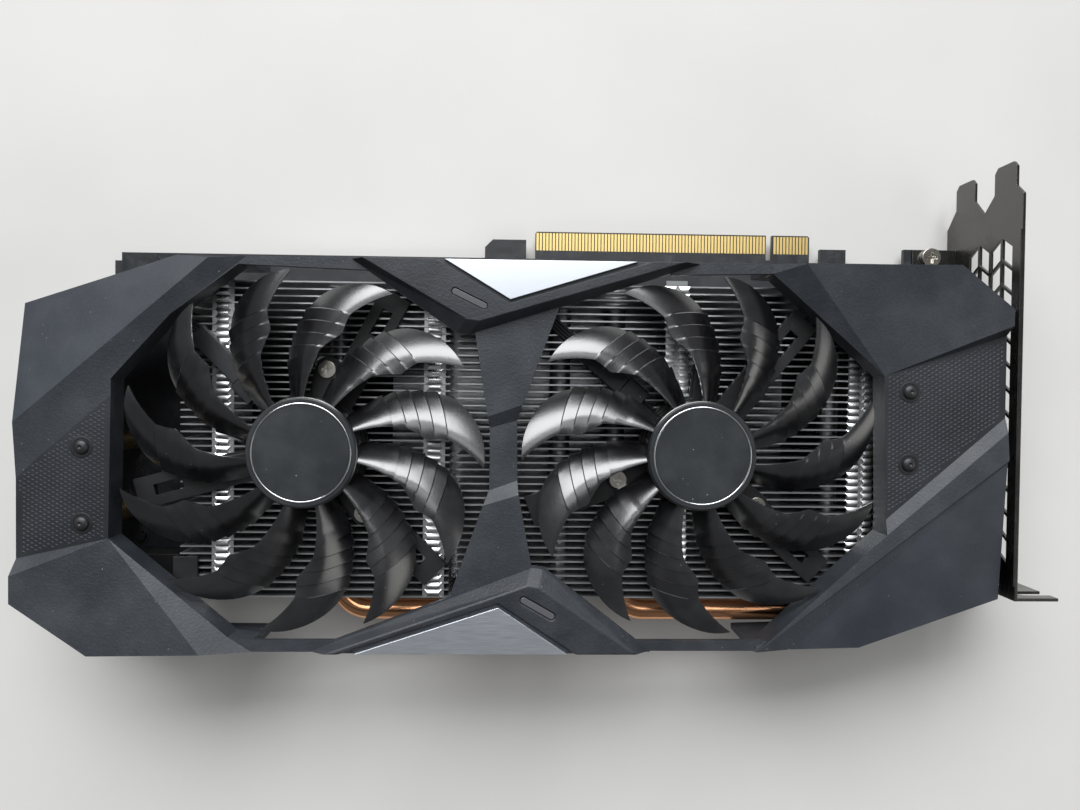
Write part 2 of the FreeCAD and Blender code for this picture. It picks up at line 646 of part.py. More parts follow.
# ---------------------------------------------------------------- fans
CUP_INNER = HUB_RADIUS - HUB_WALL
YOKE_OUTER = CUP_INNER - FIT
YOKE_INNER = YOKE_OUTER - YOKE_WALL
MAGNET_OUTER = YOKE_INNER - FIT
MAGNET_INNER = MAGNET_OUTER - MAGNET_WALL
STATOR_RADIUS = MAGNET_INNER - AIR_GAP
TUBE_RADIUS = BEARING_RADIUS + TUBE_WALL
CORE_RADIUS = TUBE_RADIUS + CORE_SHARE * (STATOR_RADIUS - TUBE_RADIUS)
CUP_TOP_THICKNESS = 1.0
YOKE_TOP = BLADE_TOP - CUP_TOP_THICKNESS
YOKE_UNDER = YOKE_TOP - YOKE_WALL
STATOR_Z = (MOTOR_BASE_TOP + 1.6, YOKE_UNDER - 1.0)
SPIDER_DISC = 16.0
MOTOR_DISC = 15.5
EAR_RADIUS = 3.6
POLES = 6


def blade_chord(share):
    """Chord seen from above at a share of the span: a parabola through root, middle and tip."""
    bow = 4 * BLADE_CHORD - 2 * ROOT_CHORD - 2 * TIP_CHORD
    return ROOT_CHORD + share * (TIP_CHORD - ROOT_CHORD) + bow * share * (1 - share)


def blade_section(centre, start, way, share):
    """Closed outline of a blade at one radius, high on the side it sweeps to; way +1 is counter-clockwise."""
    span = TIP_RADIUS - HUB_RADIUS
    radius = HUB_RADIUS - HUB_WALL / 2 + share * (span + HUB_WALL / 2)
    middle = start + way * (BLADE_SWEEP_LINEAR * share + BLADE_SWEEP_SQUARE * share ** 2)
    growth = math.radians(BLADE_SWEEP_LINEAR + 2 * BLADE_SWEEP_SQUARE * share) / span
    lean = math.atan(radius * growth)
    half = math.degrees(blade_chord(share) / math.cos(lean) / radius / 2)
    lead = polar(centre, radius, middle + way * half)
    trail = polar(centre, radius, middle - way * half)
    return Part.makePolygon([
        Vector(lead[0], lead[1], BLADE_TOP),
        Vector(trail[0], trail[1], BLADE_LOW + BLADE_THICKNESS),
        Vector(trail[0], trail[1], BLADE_LOW),
        Vector(lead[0], lead[1], BLADE_TOP - BLADE_THICKNESS),
        Vector(lead[0], lead[1], BLADE_TOP),
    ])


def make_impeller(centre, start, way):
    """Hub cup with swept blades."""
    sections = [blade_section(centre, start, way, share / 4) for share in range(5)]
    blade = Part.makeLoft(sections, True, False)
    cup = cylinder(centre, HUB_RADIUS, (BLADE_LOW, BLADE_TOP))
    cup = cup.cut(cylinder(centre, CUP_INNER, (BLADE_LOW, YOKE_TOP)))
    blades = [turned(blade, centre, i * 360 / BLADES) for i in range(BLADES)]
    return joined([cup] + blades)


def make_rotor(centre, start, way):
    """Every piece that turns with one fan."""
    cap_groove = HUB_RADIUS - 1.5
    cap = cylinder(centre, HUB_RADIUS - 0.4, (BLADE_TOP, CAP_TOP))
    groove = ring(centre, cap_groove, cap_groove - 0.7, (CAP_TOP - 0.3, CAP_TOP))
    trim = ring(centre, cap_groove - FIT, cap_groove - 0.7 + FIT, (CAP_TOP - 0.3, CAP_TOP))
    yoke = ring(centre, YOKE_OUTER, SHAFT_RADIUS, (BLADE_LOW + 0.2, YOKE_TOP))
    yoke = yoke.cut(cylinder(centre, YOKE_INNER, (BLADE_LOW, YOKE_UNDER)))
    magnet = ring(centre, MAGNET_OUTER, MAGNET_INNER, (BLADE_LOW + 0.6, YOKE_UNDER))
    shaft = cylinder(centre, SHAFT_RADIUS, (MOTOR_BASE_TOP + 0.5, YOKE_TOP))
    return {
        "impeller": make_impeller(centre, start, way),
        "hub_cap": cap.cut(groove),
        "trim_ring": trim,
        "rotor_yoke": yoke,
        "magnet_ring": magnet,
        "shaft": shaft,
    }


def radial_bar(centre, degrees, reach, width, z):
    """Bar along a radius, from the inner to the outer reach."""
    bar = box((centre[0] + reach[0], centre[0] + reach[1]), (centre[1] - width / 2, centre[1] + width / 2), z)
    return turned(bar, centre, degrees)


def make_spider(centre, arm_angles, screw_angles):
    """Plate that carries the motor: a disc, three arms with slotted ends and an ear under each screw."""
    z = (FIN_TOP, SPIDER_TOP)
    solids = [cylinder(centre, SPIDER_DISC, z)]
    solids += [radial_bar(centre, angle, (0, ARM_REACH), ARM_WIDTH, z) for angle in arm_angles]
    solids += [radial_bar(centre, angle, (0, MOTOR_SCREW_CIRCLE), 2 * EAR_RADIUS, z) for angle in screw_angles]
    solids += [cylinder(polar(centre, MOTOR_SCREW_CIRCLE, angle), EAR_RADIUS, z) for angle in screw_angles]
    spider = joined(solids)
    for angle in arm_angles:
        spider = spider.cut(radial_bar(centre, angle, (ARM_REACH - 13, ARM_REACH - 5), 3.0, z))
    for angle in screw_angles:
        spider = spider.cut(cylinder(polar(centre, MOTOR_SCREW_CIRCLE, angle), MOTOR_SCREW_RADIUS, z))
    return spider


def make_motor_base(centre, screw_angles):
    """Motor flange with three ears and the upright tube of the bearing."""
    z = (SPIDER_TOP, MOTOR_BASE_TOP)
    solids = [cylinder(centre, MOTOR_DISC, z), cylinder(centre, TUBE_RADIUS, (SPIDER_TOP, STATOR_Z[1]))]
    solids += [radial_bar(centre, angle, (0, MOTOR_SCREW_CIRCLE), 1.6 * EAR_RADIUS, z) for angle in screw_angles]
    ears = [polar(centre, MOTOR_SCREW_CIRCLE, angle) for angle in screw_angles]
    solids += [cylinder(ear, 0.8 * EAR_RADIUS, z) for ear in ears]
    base = joined(solids).cut(cylinder(centre, BEARING_RADIUS, (MOTOR_BASE_TOP, STATOR_Z[1])))
    for ear in ears:
        base = base.cut(cylinder(ear, MOTOR_SCREW_RADIUS + SCREW_PLAY, z))
    return base


def make_motor_screws(fans):
    """Screws that hold both motors on their spiders."""
    screws = []
    for centre, screw_angles in fans:
        for angle in screw_angles:
            place = polar(centre, MOTOR_SCREW_CIRCLE, angle)
            head = cylinder(place, MOTOR_HEAD_RADIUS, (MOTOR_BASE_TOP, MOTOR_BASE_TOP + 0.7))
            shank = cylinder(place, MOTOR_SCREW_RADIUS, (FIN_TOP + 0.4, MOTOR_BASE_TOP))
            cross = centred_box(place, (2.4, 0.6), (MOTOR_BASE_TOP + 0.3, MOTOR_BASE_TOP + 1))
            screw = joined([head, shank]).cut(cross).cut(turned(cross, place, 90))
            screws.append(screw)
    return screws


def make_bearing(centre):
    """Sleeve that the shaft runs in."""
    return ring(centre, BEARING_RADIUS, SHAFT_RADIUS + BEARING_PLAY, (MOTOR_BASE_TOP, STATOR_Z[1]))


def make_stator(centre):
    """Laminated core: a ring on the tube and a T-shaped pole at each step."""
    solids = [cylinder(centre, CORE_RADIUS, STATOR_Z)]
    shoe = ring(centre, STATOR_RADIUS, STATOR_RADIUS - 1.2, STATOR_Z)
    for i in range(POLES):
        angle = i * 360 / POLES
        solids.append(radial_bar(centre, angle, (0, STATOR_RADIUS - 0.6), 2.2, STATOR_Z))
        edges = [polar(centre, 2 * STATOR_RADIUS, angle + way * SHOE_HALF_ANGLE) for way in (-1, 1)]
        wedge = prism([centre] + edges, STATOR_Z)
        solids.append(shoe.common(wedge))
    return joined(solids).cut(cylinder(centre, TUBE_RADIUS, STATOR_Z))


def make_coils(centre):
    """Windings round the poles, each a block with a window for its pole."""
    z = (STATOR_Z[0] - 0.7, STATOR_Z[1] + 0.5)
    outer = STATOR_RADIUS - 1.7
    inner = CORE_RADIUS + COIL_START * (outer - CORE_RADIUS)
    coils = []
    for i in range(POLES):
        angle = i * 360 / POLES
        block = radial_bar(centre, angle, (inner, outer), 4.2, z)
        coils.append(block.cut(radial_bar(centre, angle, (0, STATOR_RADIUS), 2.2 + FIT, STATOR_Z)))
    return coils


def make_fan_board(centre):
    """Ring-shaped circuit board under the stator."""
    return ring(centre, STATOR_RADIUS - 0.4, TUBE_RADIUS + FIT, (MOTOR_BASE_TOP, MOTOR_BASE_TOP + 0.8))


def lead_end(centre, degrees, reach):
    """Plan point where a fan lead turns down to the board."""
    return polar(centre, reach, degrees)


LEAD_Z = FIN_TOP + LEAD_DIAMETER / 2 + 0.3
HEADER_TOP = BOARD_TOP + 5.0
LEFT_LEAD_REACH = TIP_RADIUS + 9.5
RIGHT_LEAD_REACH = (FIN_Y_HIGH + 4.0 - FAN_Y) / math.sin(math.radians(RIGHT_LEAD_ANGLE))


def make_lead(centre, degrees, reach):
    """Sleeved lead from the motor, over the fins and down to its header."""
    start = polar(centre, SPIDER_DISC, degrees)
    turn = lead_end(centre, degrees, reach)
    points = [(start[0], start[1], LEAD_Z), (turn[0], turn[1], LEAD_Z), (turn[0], turn[1], HEADER_TOP)]
    return tube_along(points, LEAD_BEND, LEAD_DIAMETER / 2)


def make_lead_cover(centre, degrees):
    """Channel with a square clip at its inner end, lying over the lead."""
    top = FIN_TOP + 3.2
    cover = radial_bar(centre, degrees, (27.0, 45.0), 5.4, (FIN_TOP, top))
    clip = radial_bar(centre, degrees, (20.5, 27.5), 7.2, (FIN_TOP, top + 0.3))
    channel = radial_bar(centre, degrees, (0, TIP_RADIUS), 3.4, (FIN_TOP, top - 0.8))
    return joined([cover, clip]).cut(channel)


def make_fan_headers(ends):
    """Plugs on the board where the leads end."""
    return [centred_box(end, (6.4, 4.0), (BOARD_TOP, HEADER_TOP)) for end in ends]


# ---------------------------------------------------------------- heatsink
LEFT_COLUMNS = (LEFT_FAN_X - 24.7, LEFT_FAN_X + 33.9)
RIGHT_COLUMNS = (RIGHT_FAN_X - 5.0, RIGHT_FAN_X + 47.5)


def pipe_hole(x, y, way):
    """Round hole through a fin for a heat pipe leg; it follows the pipe where its bend has begun."""
    depth = max(0.0, PIPE_OUT_Y + PIPE_BEND - y)
    angle = math.asin(depth / PIPE_BEND)
    centre = x + way * PIPE_BEND * (1 - math.cos(angle))
    radius = PIPE_RADIUS / math.cos(angle) + PIPE_PLAY
    return Part.makeCylinder(radius, 2 * FIN_PITCH, Vector(centre, y - FIN_PITCH, PIPE_HEIGHT), Vector(0, 1, 0))


def make_fins(limits, columns, pipes):
    """Stack of identical fins with folded tabs that reach for the next fin."""
    y = (FIN_Y_LOW, FIN_Y_LOW + FIN_THICKNESS)
    fin = box(limits, y, (FIN_LOW, FIN_TOP))
    tab_y = (y[0], FIN_Y_LOW + FIN_PITCH - FOLD_GAP)
    tabs = []
    for x in columns:
        edge = (x - FOLD_WIDTH / 2, x + FOLD_WIDTH / 2)
        tabs.append(box(edge, tab_y, (FIN_TOP - FIN_THICKNESS, FIN_TOP)))
        tabs.append(box(edge, tab_y, (FIN_LOW, FIN_LOW + FIN_THICKNESS)))
    fin = joined([fin] + tabs)
    stack = []
    for i in range(FIN_COUNT):
        copy = fin.copy()
        copy.translate(Vector(0, i * FIN_PITCH, 0))
        for x, way in pipes:
            copy = copy.cut(pipe_hole(x, FIN_Y_LOW + i * FIN_PITCH, way))
        stack.append(copy)
    return stack


def make_heat_pipe(legs):
    """Pipe through the fins, out at the far side, along it and back in."""
    points = [(legs[0], PIPE_END_Y, PIPE_HEIGHT), (legs[0], PIPE_OUT_Y, PIPE_HEIGHT),
              (legs[1], PIPE_OUT_Y, PIPE_HEIGHT), (legs[1], PIPE_END_Y, PIPE_HEIGHT)]
    return tube_along(points, PIPE_BEND, PIPE_RADIUS)


def gpu_corner_places():
    """Centres of the four spring screws round the graphics chip."""
    half = SPRING_SCREW_SPACING / 2
    return [(GPU_X + i * half, GPU_Y + j * half) for i in (-1, 1) for j in (-1, 1)]


def make_base_plate():
    """Plate under the fins with a window for the cold plate and threaded holes."""
    plate = box(BASE_X, BASE_Y, (BASE_LOW, FIN_LOW))
    window = COLD_PLATE_SIDE + 2 * FIT
    plate = plate.cut(centred_box((GPU_X, GPU_Y), (window, window), (BASE_LOW, FIN_LOW)))
    for place in gpu_corner_places():
        plate = plate.cut(cylinder(place, SHROUD_SCREW_RADIUS, (BASE_LOW, BASE_LOW + 2)))
    return plate


def make_spring_screws():
    """Screws that pull the heatsink onto the chip from behind the board."""
    screws = []
    for place in gpu_corner_places():
        head = cylinder(place, 2.6, (BOARD_LOW - 1.3, BOARD_LOW))
        screws.append(joined([head, cylinder(place, SHROUD_SCREW_RADIUS, (BOARD_LOW, BASE_LOW + 2))]))
    return screws


def make_heatsink_straps():
    """Steel straps from the board up the ends of the fin stacks, bent over the fins."""
    straps = []
    top = (FIN_TOP, FIN_TOP + 1.0)
    for edge, way, y in ((LEFT_FINS_START, 1, FAN_Y - 35.5), (RIGHT_FINS_END, -1, FAN_Y + 34.0)):
        across = (y - 5.5, y + 5.5)
        outer = edge - way * 1.6
        inner = edge + way * 5.2
        leg = sorted((outer, outer + way * 1.0))
        straps.append(joined([box(leg, across, (BOARD_TOP, top[1])), box(sorted((outer, inner)), across, top)]))
    return straps


# ---------------------------------------------------------------- circuit board and what is on it
def memory_places():
    """Centres of the memory chips and whether each lies lengthwise along Y."""
    side, step = 33.5, 8.6
    places = [(GPU_X + i * side, GPU_Y + j * step, True) for i in (-1, 1) for j in (-1, 1)]
    return places + [(GPU_X + i * step, GPU_Y + side, False) for i in (-1, 1)]


def board_screw_places():
    """Centres of the screws between backplate and board."""
    left, right = BOARD_X[0] + 6, BOARD_X[1] - 22
    low, high = BOARD_Y[0] + 5, BOARD_Y[1] - 8
    return [(left, low + 12), (left, high), (MIDDLE_X - 12, low), (MIDDLE_X - 12, high), (right, low), (right, high)]


SHORT_END = KEY_X + KEY_WIDTH / 2 + SHORT_TAB
LONG_START = KEY_X - KEY_WIDTH / 2 - LONG_TAB
FOOT_SCREW = (BRACKET_OUT - 9.1, BOARD_Y[1] + 1.9)


def board_outline():
    """Outline of the board with its contact tongue, key notch, hook and two small tabs."""
    top = BOARD_Y[1]
    hook_end = LONG_START - HOOK_GAP
    hook_start = hook_end - HOOK_TAB
    key_left, key_right = KEY_X - KEY_WIDTH / 2, KEY_X + KEY_WIDTH / 2
    tab_start, tab_end = BRACKET_OUT - 43.2, BRACKET_OUT - 35.1
    foot_start = BRACKET_OUT - 16.8
    return [
        (BOARD_X[0], BOARD_Y[0]), (BOARD_X[1], BOARD_Y[0]), (BOARD_X[1], top + 4.6), (foot_start, top + 4.6),
        (foot_start, top), (tab_end, top), (tab_end, top + 4.2), (tab_start, top + 4.2), (tab_start, top),
        (SHORT_END, top), (SHORT_END, EDGE_Y - 0.5), (SHORT_END - 0.5, EDGE_Y), (key_right, EDGE_Y),
        (key_right, top + 0.6), (key_left, top + 0.6), (key_left, EDGE_Y), (LONG_START + 0.5, EDGE_Y),
        (LONG_START, EDGE_Y - 0.5), (LONG_START, top), (hook_end, top), (hook_end, top + HOOK_RISE),
        (hook_start + 2.4, top + HOOK_RISE), (hook_start, top + HOOK_RISE - 2.4), (hook_start, top),
        (BOARD_X[0], top),
    ]


def make_board():
    """Circuit board with its screw holes."""
    board = prism(board_outline(), (BOARD_LOW, BOARD_TOP))
    for place in gpu_corner_places() + board_screw_places() + [FOOT_SCREW]:
        board = board.cut(cylinder(place, SHROUD_SCREW_RADIUS + SCREW_PLAY, (BOARD_LOW, BOARD_TOP)))
    return board


def make_edge_contacts():
    """Gold contacts on both faces of the tongue."""
    contacts = []
    rows = ((LONG_START, LONG_TAB, LONG_CONTACTS), (SHORT_END - SHORT_TAB, SHORT_TAB, SHORT_CONTACTS))
    for start, width, count in rows:
        margin = (width - (count - 1) * CONTACT_PITCH) / 2
        for i in range(count):
            x = start + margin + i * CONTACT_PITCH
            edge = (x - CONTACT_WIDTH / 2, x + CONTACT_WIDTH / 2)
            y = (EDGE_Y - 0.4 - CONTACT_LENGTH, EDGE_Y - 0.4)
            contacts.append(box(edge, y, (BOARD_TOP, BOARD_TOP + CONTACT_THICKNESS)))
            contacts.append(box(edge, y, (BOARD_LOW - CONTACT_THICKNESS, BOARD_LOW)))
    return contacts


def make_memory(z):
    """Blocks on the memory places between two heights."""
    blocks = []
    for x, y, upright in memory_places():
        size = (MEMORY_WIDTH, MEMORY_LENGTH) if upright else (MEMORY_LENGTH, MEMORY_WIDTH)
        blocks.append(centred_box((x, y), size, z))
    return blocks


def power_stage_places():
    """Centres of the phases of the power supply, in a line along Y."""
    return [(GPU_X - 52.5, GPU_Y - 34 + i * 13.5) for i in range(6)]


def make_inductors():
    """Square chokes, one a phase."""
    return [centred_box((x - 16, y), (8.0, 8.0), (BOARD_TOP, BOARD_TOP + 5.0)) for x, y in power_stage_places()]


def make_mosfets():
    """Power transistors, two a phase."""
    return [centred_box((x + dx, y), (5.0, 6.0), (BOARD_TOP, BOARD_TOP + 1.0))
            for x, y in power_stage_places() for dx in (0, 7.5)]


def make_capacitors():
    """Round polymer capacitors behind the chokes and near the sockets."""
    places = [(x - 26, y) for x, y in power_stage_places()]
    places += [(BRACKET_IN - 24, FAN_Y + 40 - i * 9) for i in range(2)]
    return [cylinder(place, 3.1, (BOARD_TOP, BOARD_TOP + 5.3)) for place in places]


POWER_X = (LEFT_END + 14.0, LEFT_END + 32.6)
POWER_Y = (BOARD_Y[0] - 1.0, BOARD_Y[0] + 13.5)
POWER_Z = (BOARD_TOP, BOARD_TOP + 9.8)
CELL_PITCH = 4.2
CELL_SIDE = 3.5
CELL_DEPTH = 10.5


def power_cells():
    """Centres (x, z) of the eight cells of the power socket."""
    x = (POWER_X[0] + POWER_X[1]) / 2
    z = (POWER_Z[0] + POWER_Z[1]) / 2
    return [(x + (i - 1.5) * CELL_PITCH, z + (j - 0.5) * CELL_PITCH) for i in range(4) for j in range(2)]


def make_power_socket():
    """Eight-way power socket opening towards the far side, with its latch ridge."""
    socket = box(POWER_X, POWER_Y, POWER_Z)
    middle = (POWER_X[0] + POWER_X[1]) / 2
    ridge = box((middle - 2.4, middle + 2.4), (POWER_Y[0] + 2, POWER_Y[0] + 5), (POWER_Z[1], POWER_Z[1] + 1.2))
    half = CELL_SIDE / 2
    socket = joined([socket, ridge])
    for x, z in power_cells():
        cell = box((x - half, x + half), (POWER_Y[0], POWER_Y[0] + CELL_DEPTH), (z - half, z + half))
        socket = socket.cut(cell)
    return socket


def make_power_pins():
    """Pins standing in the cells."""
    return [box((x - 0.5, x + 0.5), (POWER_Y[0] + 2.5, POWER_Y[0] + CELL_DEPTH), (z - 0.5, z + 0.5))
            for x, z in power_cells()]


# ---------------------------------------------------------------- backplate
def make_backplate():
    """Cover behind the board, with bosses, screw recesses, access holes and a row of vents."""
    x = (LEFT_END + 8.5, RIGHT_END - 4.0)
    y = (BOARD_Y[0] + 0.5, BOARD_Y[1] - 2.0)
    cut = 6.0
    outline = [(x[0] + cut, y[0]), (x[1] - cut, y[0]), (x[1], y[0] + cut), (x[1], y[1]), (x[0], y[1]),
               (x[0], y[0] + cut)]
    plate = prism(outline, (0, BACKPLATE_THICKNESS))
    bosses = [cylinder(place, 2.6, (0, BOARD_LOW)) for place in board_screw_places()]
    plate = joined([plate] + bosses)
    for place in board_screw_places():
        plate = plate.cut(cylinder(place, SHROUD_SCREW_RADIUS + SCREW_PLAY, (0, BOARD_LOW)))
        plate = plate.cut(cylinder(place, 2.3, (0, 0.7)))
    for place in gpu_corner_places():
        plate = plate.cut(cylinder(place, 3.4, (0, BACKPLATE_THICKNESS)))
    for i in range(6):
        slot = (x[0] + 12 + i * 7, x[0] + 15 + i * 7)
        plate = plate.cut(box(slot, (FAN_Y - 14, FAN_Y + 26), (0, BACKPLATE_THICKNESS)))
    return plate


def make_backplate_screws():
    """Flat-headed screws from the backplate into the board."""
    screws = []
    for place in board_screw_places():
        head = cylinder(place, 2.1, (0.1, 0.7))
        screws.append(joined([head, cylinder(place, SHROUD_SCREW_RADIUS, (0.7, BOARD_TOP + 0.8))]))
    return screws


# ---------------------------------------------------------------- bracket and sockets
SOCKET_PITCH = 22.0


def socket_places():
    """Centre along Y, outer width and outer height of each display socket."""
    first = FAN_Y + 43.0
    places = [(first - i * SOCKET_PITCH, DISPLAY_WIDTH, DISPLAY_HEIGHT) for i in range(3)]
    return places + [(first - 3 * SOCKET_PITCH, HDMI_WIDTH, HDMI_HEIGHT)]


def yz_prism(outline, x):
    """Prism along X over a polygon of (y, z) points."""
    points = [Vector(x[0], y, z) for y, z in outline]
    face = Part.Face(Part.makePolygon(points + points[:1]))
    return face.extrude(Vector(x[1] - x[0], 0, 0))


def bracket_outline():
    """Outline of the bracket plate with its two tongues and the notch between them."""
    shoulder = TONGUE_TIP - SHOULDER_DROP
    corner = 1.5
    outline = [(FLANGE_Y, 0), (shoulder - 5.2, 0), (shoulder, TONGUE_START)]
    for i in range(2):
        low = TONGUE_START + i * SLOT_PITCH
        high = low + TONGUE_WIDTH
        outline += [(TONGUE_TIP - corner, low), (TONGUE_TIP, low + corner), (TONGUE_TIP, high - corner),
                    (TONGUE_TIP - corner, high), (shoulder + 0.6, high)]
        if i == 0:
            outline += [(shoulder - 4.3, (high + low + SLOT_PITCH) / 2), (shoulder, low + SLOT_PITCH)]
    return outline + [(shoulder - 2.2, BRACKET_WIDTH), (FLANGE_Y, BRACKET_WIDTH)]


def vent_holes():
    """Slanted holes in strips, which read as rows of half hexagons."""
    first = FAN_Y + 58.2
    holes = []
    for strip in range(VENT_STRIPS):
        low = VENT_START_Z + strip * VENT_STRIP + VENT_WALL / 2
        high = low + VENT_STRIP - VENT_WALL
        slants = (0, VENT_SLANT) if strip % 2 == 0 else (VENT_SLANT, 0)
        for row in range(VENT_ROWS):
            top = first - row * VENT_PITCH
            foot = top - VENT_PITCH + VENT_WALL
            outline = [(foot + slants[0], low), (top + slants[0], low), (top + slants[1], high),
                       (foot + slants[1], high)]
            holes.append(yz_prism(outline, (BRACKET_IN - 1, BRACKET_OUT + 1)))
    return holes


def flange():
    """Foot of the bracket bent outwards, with an open notch for each slot's screw."""
    tip = BRACKET_OUT + FLANGE_REACH
    points = [(BRACKET_IN, 1.2), (tip - 3, 1.2), (tip, 4.2), (tip, BRACKET_WIDTH), (BRACKET_IN, BRACKET_WIDTH)]
    corners = [Vector(x, FLANGE_Y - BRACKET_THICKNESS, z) for x, z in points]
    plate = Part.Face(Part.makePolygon(corners + corners[:1])).extrude(Vector(0, BRACKET_THICKNESS, 0))
    across = (FLANGE_Y - BRACKET_THICKNESS, FLANGE_Y)
    for i in range(2):
        z = TONGUE_START + TONGUE_WIDTH / 2 + i * SLOT_PITCH + 2.6
        half = NOTCH_WIDTH / 2
        plate = plate.cut(box((tip - NOTCH_DEPTH, tip), across, (z - half, z + half)))
        end = Part.makeCylinder(half, BRACKET_THICKNESS, Vector(tip - NOTCH_DEPTH, across[0], z), Vector(0, 1, 0))
        plate = plate.cut(end)
    return plate


def make_bracket():
    """Steel bracket: plate, stiffening lip, flange, foot on the board, vents and socket cut-outs."""
    plate = yz_prism(bracket_outline(), (BRACKET_IN, BRACKET_OUT))
    lip_y = (FLANGE_Y + 3.2, TONGUE_TIP - 19.2)
    lip = box((BRACKET_IN - LIP_DEPTH, BRACKET_OUT), lip_y, (BRACKET_WIDTH - LIP_HEIGHT, BRACKET_WIDTH))
    foot_y = (BOARD_Y[1] - 2.4, BOARD_Y[1] + 4.4)
    foot = box((BRACKET_OUT - 14.4, BRACKET_IN), foot_y, (BOARD_TOP, BOARD_TOP + BRACKET_THICKNESS))
    foot = foot.cut(cylinder(FOOT_SCREW, SHROUD_SCREW_RADIUS + SCREW_PLAY, (BOARD_TOP, BOARD_TOP + 1)))
    bracket = joined([plate, lip, flange(), foot])
    bracket = bracket.cut(vent_holes())
    for y, width, height in socket_places():
        gap = 3 * FIT
        hole = box((BRACKET_IN - 1, BRACKET_OUT + 1), (y - width / 2 - gap, y + width / 2 + gap),
                   (BOARD_TOP - gap, BOARD_TOP + height + gap))
        bracket = bracket.cut(hole)
    return bracket


def make_bracket_screw():
    """Screw through the bracket foot and the board."""
    top = BOARD_TOP + BRACKET_THICKNESS
    head = cylinder(FOOT_SCREW, 2.9, (top, top + 1.6))
    shank = cylinder(FOOT_SCREW, SHROUD_SCREW_RADIUS, (BOARD_LOW, top))
    cross = centred_box(FOOT_SCREW, (3.4, 0.8), (top + 0.8, top + 2))
    return joined([head, shank]).cut(cross).cut(turned(cross, FOOT_SCREW, 90))


SOCKET_X = (BRACKET_OUT + SOCKET_PROUD - SOCKET_DEPTH, BRACKET_OUT + SOCKET_PROUD)


def socket_shell_outline(y, width, height, shrink):
    """Outline of a socket: a box with its two lower corners cut."""
    half = width / 2 - shrink
    low, high = BOARD_TOP + shrink, BOARD_TOP + height - shrink
    cut = 1.6
    return [(y - half + cut, low), (y + half - cut, low), (y + half, low + cut), (y + half, high), (y - half, high),
            (y - half, low + cut)]


def make_display_sockets():
    """Metal shells, closed at the back and open at the bracket."""
    shells = []
    for y, width, height in socket_places():
        shell = yz_prism(socket_shell_outline(y, width, height, 0), SOCKET_X)
        inside = yz_prism(socket_shell_outline(y, width, height, SOCKET_WALL), (SOCKET_X[0] + 2, SOCKET_X[1]))
        shells.append(shell.cut(inside))
    return shells


def make_socket_tongues():
    """Contact tongues inside the shells."""
    tongues = []
    for y, width, height in socket_places():
        z = BOARD_TOP + height / 2
        half = TONGUE_PLASTIC / 2
        tongues.append(box((SOCKET_X[0] + 2, SOCKET_X[1] - 1.5), (y - width / 2 + 2.6, y + width / 2 - 2.6),
                           (z - half, z + half)))
    return tongues


# ---------------------------------------------------------------- assembly
def export(name, shape):
    """Write one sub-part; a list becomes a group of separate solids."""
    solid = Part.makeCompound(shape) if isinstance(shape, list) else shape
    solid.exportStep(os.path.join("parts", name + ".step"))


def fan_parts():
    """Both fans with their fixed and turning pieces."""
    left = (LEFT_FAN_X, FAN_Y)
    right = (RIGHT_FAN_X, FAN_Y)
    parts = {}
    for side, centre, start, way in (("left", left, LEFT_BLADE_START, -1), ("right", right, RIGHT_BLADE_START, 1)):
        for name, shape in make_rotor(centre, start, way).items():
            parts[side + "_" + name] = shape
        parts[side + "_stator"] = make_stator(centre)
    parts["left_spider"] = make_spider(left, LEFT_ARM_ANGLES, LEFT_SCREW_ANGLES)
    parts["right_spider"] = make_spider(right, RIGHT_ARM_ANGLES, RIGHT_SCREW_ANGLES)
    parts["left_motor_base"] = make_motor_base(left, LEFT_SCREW_ANGLES)
    parts["right_motor_base"] = make_motor_base(right, RIGHT_SCREW_ANGLES)
    parts["motor_screws"] = make_motor_screws(((left, LEFT_SCREW_ANGLES), (right, RIGHT_SCREW_ANGLES)))
    parts["fan_bearings"] = [make_bearing(left), make_bearing(right)]
    parts["stator_coils"] = make_coils(left) + make_coils(right)
    parts["fan_boards"] = [make_fan_board(left), make_fan_board(right)]
    parts["left_fan_lead"] = make_lead(left, LEFT_LEAD_ANGLE, LEFT_LEAD_REACH)
    parts["right_fan_lead"] = make_lead(right, RIGHT_LEAD_ANGLE, RIGHT_LEAD_REACH)
    parts["lead_covers"] = [make_lead_cover(left, LEFT_LEAD_ANGLE), make_lead_cover(right, RIGHT_LEAD_ANGLE)]
    parts["fan_headers"] = make_fan_headers([lead_end(left, LEFT_LEAD_ANGLE, LEFT_LEAD_REACH),
                                             lead_end(right, RIGHT_LEAD_ANGLE, RIGHT_LEAD_REACH)])
    return parts


def shroud_parts():
    """Shroud, its trims and fixings."""
    return {
        "shroud": make_shroud(),
        "upper_wing": make_wing(UPPER_FOOT, UPPER_TOP, UPPER_INLAY, UPPER_SLOT),
        "lower_wing": make_wing(LOWER_FOOT, LOWER_TOP, LOWER_INLAY, LOWER_SLOT),
        "upper_inlay": make_inlay(UPPER_INLAY),
        "lower_inlay": make_inlay(LOWER_INLAY),
        "slot_inserts": make_slot_inserts(),
        "shroud_screws": make_shroud_screws(),
        "shroud_standoffs": make_standoffs(),
    }


